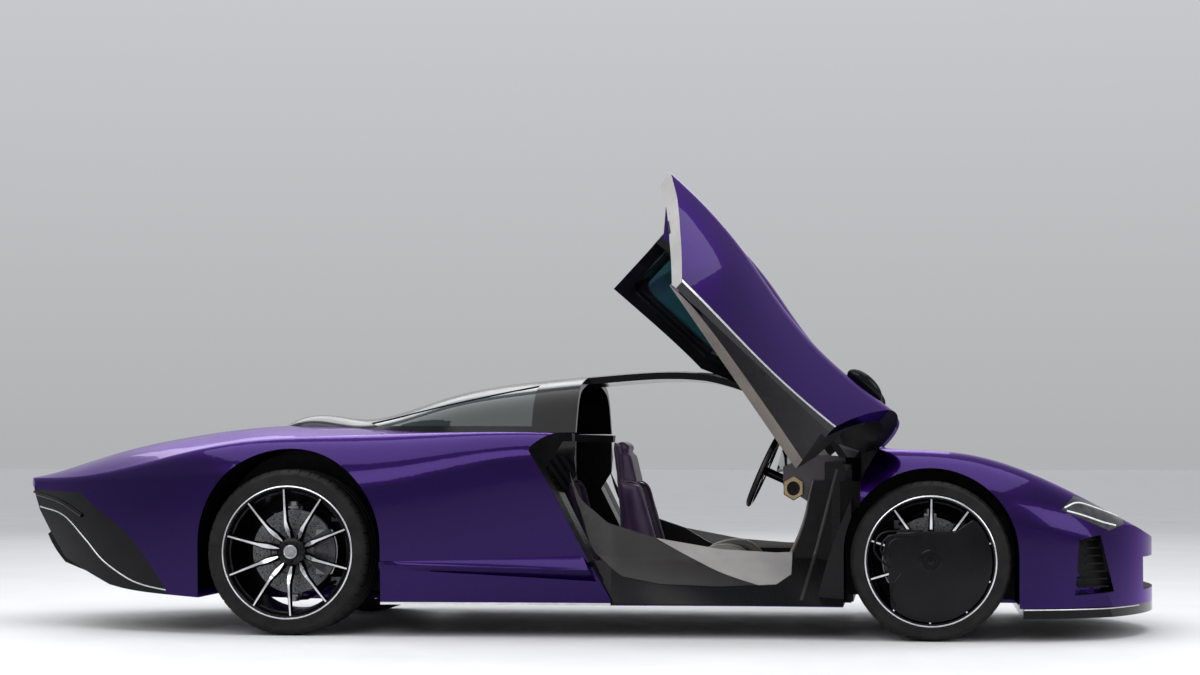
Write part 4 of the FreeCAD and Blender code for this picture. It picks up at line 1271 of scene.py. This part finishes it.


# Dash: screens and air vents, and padded arches by the footwells

def plate(bm, centre, across, up, width, height, thick, corner=0.012):
    """Thin plate with rounded corners, facing along across x up."""
    across, up = Vector(across).normalized(), Vector(up).normalized()
    facing = across.cross(up)
    corners = []
    for sx, sz, start in ((1, 1, 0), (-1, 1, 90), (-1, -1, 180), (1, -1, 270)):
        for k in range(5):
            a = radians(start + 22.5 * k)
            corners.append((sx * (width / 2 - corner) + corner * cos(a),
                            sz * (height / 2 - corner) + corner * sin(a)))
    rows = []
    for depth, shrink in ((0.0, 1.0), (thick * 0.8, 1.0), (thick, 0.985)):
        rows.append([bm.verts.new(Vector(centre) + across * a * shrink + up * b * shrink + facing * depth)
                     for a, b in corners])
    hoop_faces(bm, rows, True)


def add_screens():
    """Three thin screens before the driver, at the dash's rear edge."""
    frame_bm, face_bm = bmesh.new(), bmesh.new()
    for y, width, turn in ((0.0, 0.26, 0.0), (0.29, 0.24, 0.30), (-0.29, 0.24, -0.30)):
        way = Vector((cos(turn), -sin(turn), 0))
        across = Vector((0, 0, 1)).cross(way) * -1
        up = Vector((0.28, 0, 1)).normalized()
        centre = Vector((0.952 + abs(y) * 0.06, y, 0.745))
        plate(frame_bm, centre, across, up, width, 0.105, 0.010)
        facing = across.cross(up)
        side_out = 0.0102 if facing.x < 0 else -0.0012
        plate(face_bm, centre + facing * side_out, across, up, width - 0.016, 0.088, 0.0010, 0.008)
    mesh_piece("dash_screen_frames", frame_bm, "gloss_black", "car")
    mesh_piece("dash_screens", face_bm, "screen", "car")


def add_vent(side):
    """Six-sided bronze ring with a round dark throat, at the end of the dash."""
    word = hand(side)
    centre = Vector((1.005, side * 0.5415, 0.626))
    ring, throat = bmesh.new(), bmesh.new()
    rows = []
    for out, size in ((0.0, 0.052), (0.006, 0.053), (0.010, 0.049), (0.010, 0.031), (0.004, 0.029)):
        row = []
        for a in even_angles(48):
            if size > 0.04:
                sector = (a + pi / 6) % (pi / 3) - pi / 6
                r = size * cos(pi / 6) / cos(sector)
            else:
                r = size
            row.append(ring.verts.new(centre + Vector((r * cos(a) * 0.92, side * out, r * sin(a)))))
        rows.append(row)
    hoop_faces(ring, rows)
    mesh_piece("vent_ring_" + word, ring, "bronze", "car", 25)
    rows = []
    for out, r in ((0.009, 0.0312), (0.0015, 0.0308), (0.0012, 0.010), (0.006, 0.009), (0.007, 0.002)):
        rows.append([throat.verts.new(centre + Vector((r * cos(a) * 0.92, side * out, r * sin(a))))
                     for a in even_angles(32)])
    hoop_faces(throat, rows)
    throat.faces.new(rows[-1])
    mesh_piece("vent_throat_" + word, throat, "satin_black", "car", 25)


def add_footwell_arches():
    """Padded arches between the driver's cushion and each sill."""
    for side in SIDES:
        path = smooth_path([(0.52, side * 0.30, 0.20), (0.57, side * 0.31, 0.31), (0.66, side * 0.32, 0.352),
                            (0.76, side * 0.33, 0.342), (0.84, side * 0.34, 0.25),
                            (0.88, side * 0.345, 0.175)])
        tube("footwell_arch_" + hand(side), path, 0.022, "grey_trim", "car",
             14, 1.4)


add_screens()
for side in SIDES:
    add_vent(side)
add_footwell_arches()


# Steering wheel: flattened leather rim with a stepped hub, on the wheel's own column

STEER_AT = Vector((0.845, 0.0, 0.700))
STEER_RADIUS = 0.165
GRIP_RADIUS = 0.0155
STEER_TURN = Matrix.Rotation(radians(-66), 3, "Y")


def steer_spot(x, y, z):
    return STEER_AT + STEER_TURN @ Vector((x, y, z))


def softened(value):
    """Root that keeps its sign, which turns a circle into a rounded square."""
    return copysign(abs(value) ** 0.5, value)


def add_steering():
    rim, hub = bmesh.new(), bmesh.new()
    rows = []
    for a in even_angles(72):
        flat = 1 - 0.10 * max(0, -cos(a)) ** 6
        row = []
        for b in even_angles(12):
            r = (STEER_RADIUS + GRIP_RADIUS * cos(b)) * flat
            row.append(rim.verts.new(steer_spot(-r * cos(a), r * sin(a), 0.0125 * sin(b))))
        rows.append(row)
    grid_faces(rim, rows, True, True)
    mesh_piece("steering_leather", rim, "trim_leather", "steering_wheel", 60)
    for half_width, half_height, depth in ((0.052, 0.040, 0.016), (0.030, 0.026, 0.021)):
        rows = []
        for z, shrink in ((-0.012, 1.0), (depth - 0.004, 1.0), (depth, 0.86)):
            rows.append([hub.verts.new(steer_spot(half_height * shrink * softened(cos(a)),
                                                  half_width * shrink * softened(sin(a)), z))
                         for a in even_angles(40)])
        hoop_faces(hub, rows, True)
    mesh_piece("steering_hub", hub, "satin_black", "steering_wheel", 40)


add_steering()


# Floor and backdrop: a wide pale floor under a pale sky that is a little darker at its foot

FLOOR_PALE = new_material("studio_pale", (0.74, 0.74, 0.75), 0.6)
ramp_colour(FLOOR_PALE, noise(FLOOR_PALE, 1.5), (0.72, 0.72, 0.73), (0.76, 0.76, 0.77))
ramp_rough(FLOOR_PALE, noise(FLOOR_PALE, 8), 0.5, 0.62)


def studio_floor():
    bm = bmesh.new()
    bmesh.ops.create_grid(bm, x_segments=12, y_segments=12, size=90)
    obj = object_of("studio_floor", bm)
    obj.data.materials.append(FLOOR_PALE)


studio_floor()


# Light: a wide soft lamp overhead, and three more that face the near side, the nose and the far side

def soft_lamp(name, centre, target, width, height, power):
    data = bpy.data.lights.new(name, "AREA")
    data.shape = "RECTANGLE"
    data.size, data.size_y, data.energy = width, height, power
    lamp = bpy.data.objects.new(name, data)
    lamp.location = centre
    lamp.rotation_euler = (Vector(target) - Vector(centre)).to_track_quat("-Z", "Y").to_euler()
    bpy.context.scene.collection.objects.link(lamp)


soft_lamp("top_lamp", (0, -0.5, 6.0), (0, -0.5, 0), 10, 7, 430)
soft_lamp("near_lamp", (-3.0, -9.5, 6.0), (0, 0, 0.5), 9, 4.5, 330)
soft_lamp("nose_lamp", (8.5, -4.5, 4.0), (1.5, 0, 0.5), 5, 4, 170)
soft_lamp("far_lamp", (-2.0, 10.0, 6.0), (0, 0, 0.5), 9, 4.5, 200)
world = bpy.data.worlds.new("studio_air")
world.use_nodes = True
bpy.context.scene.world = world
nodes, links = world.node_tree.nodes, world.node_tree.links
air = nodes["Background"]
heights = nodes.new("ShaderNodeTexCoord")
split = nodes.new("ShaderNodeSeparateXYZ")
fade = nodes.new("ShaderNodeValToRGB")
fade.color_ramp.elements[0].position = 0.0
fade.color_ramp.elements[0].color = (0.44, 0.445, 0.455, 1)
fade.color_ramp.elements[1].position = 0.22
fade.color_ramp.elements[1].color = (0.60, 0.61, 0.63, 1)
links.new(heights.outputs["Generated"], split.inputs[0])
links.new(split.outputs["Z"], fade.inputs["Fac"])
links.new(fade.outputs["Color"], air.inputs["Color"])
air.inputs["Strength"].default_value = 1.0


# Camera at the photo's low viewing angle

camera_data = bpy.data.cameras.new("photo_camera")
camera_data.sensor_width = 36.0
camera_data.lens = 73.5
camera = bpy.data.objects.new("photo_camera", camera_data)
camera.location = (1.50, -11.19, 0.79)
camera.rotation_euler = (radians(92.64), 0, radians(7.17))
bpy.context.scene.collection.objects.link(camera)
bpy.context.scene.camera = camera
bpy.context.scene.view_settings.view_transform = "Standard"
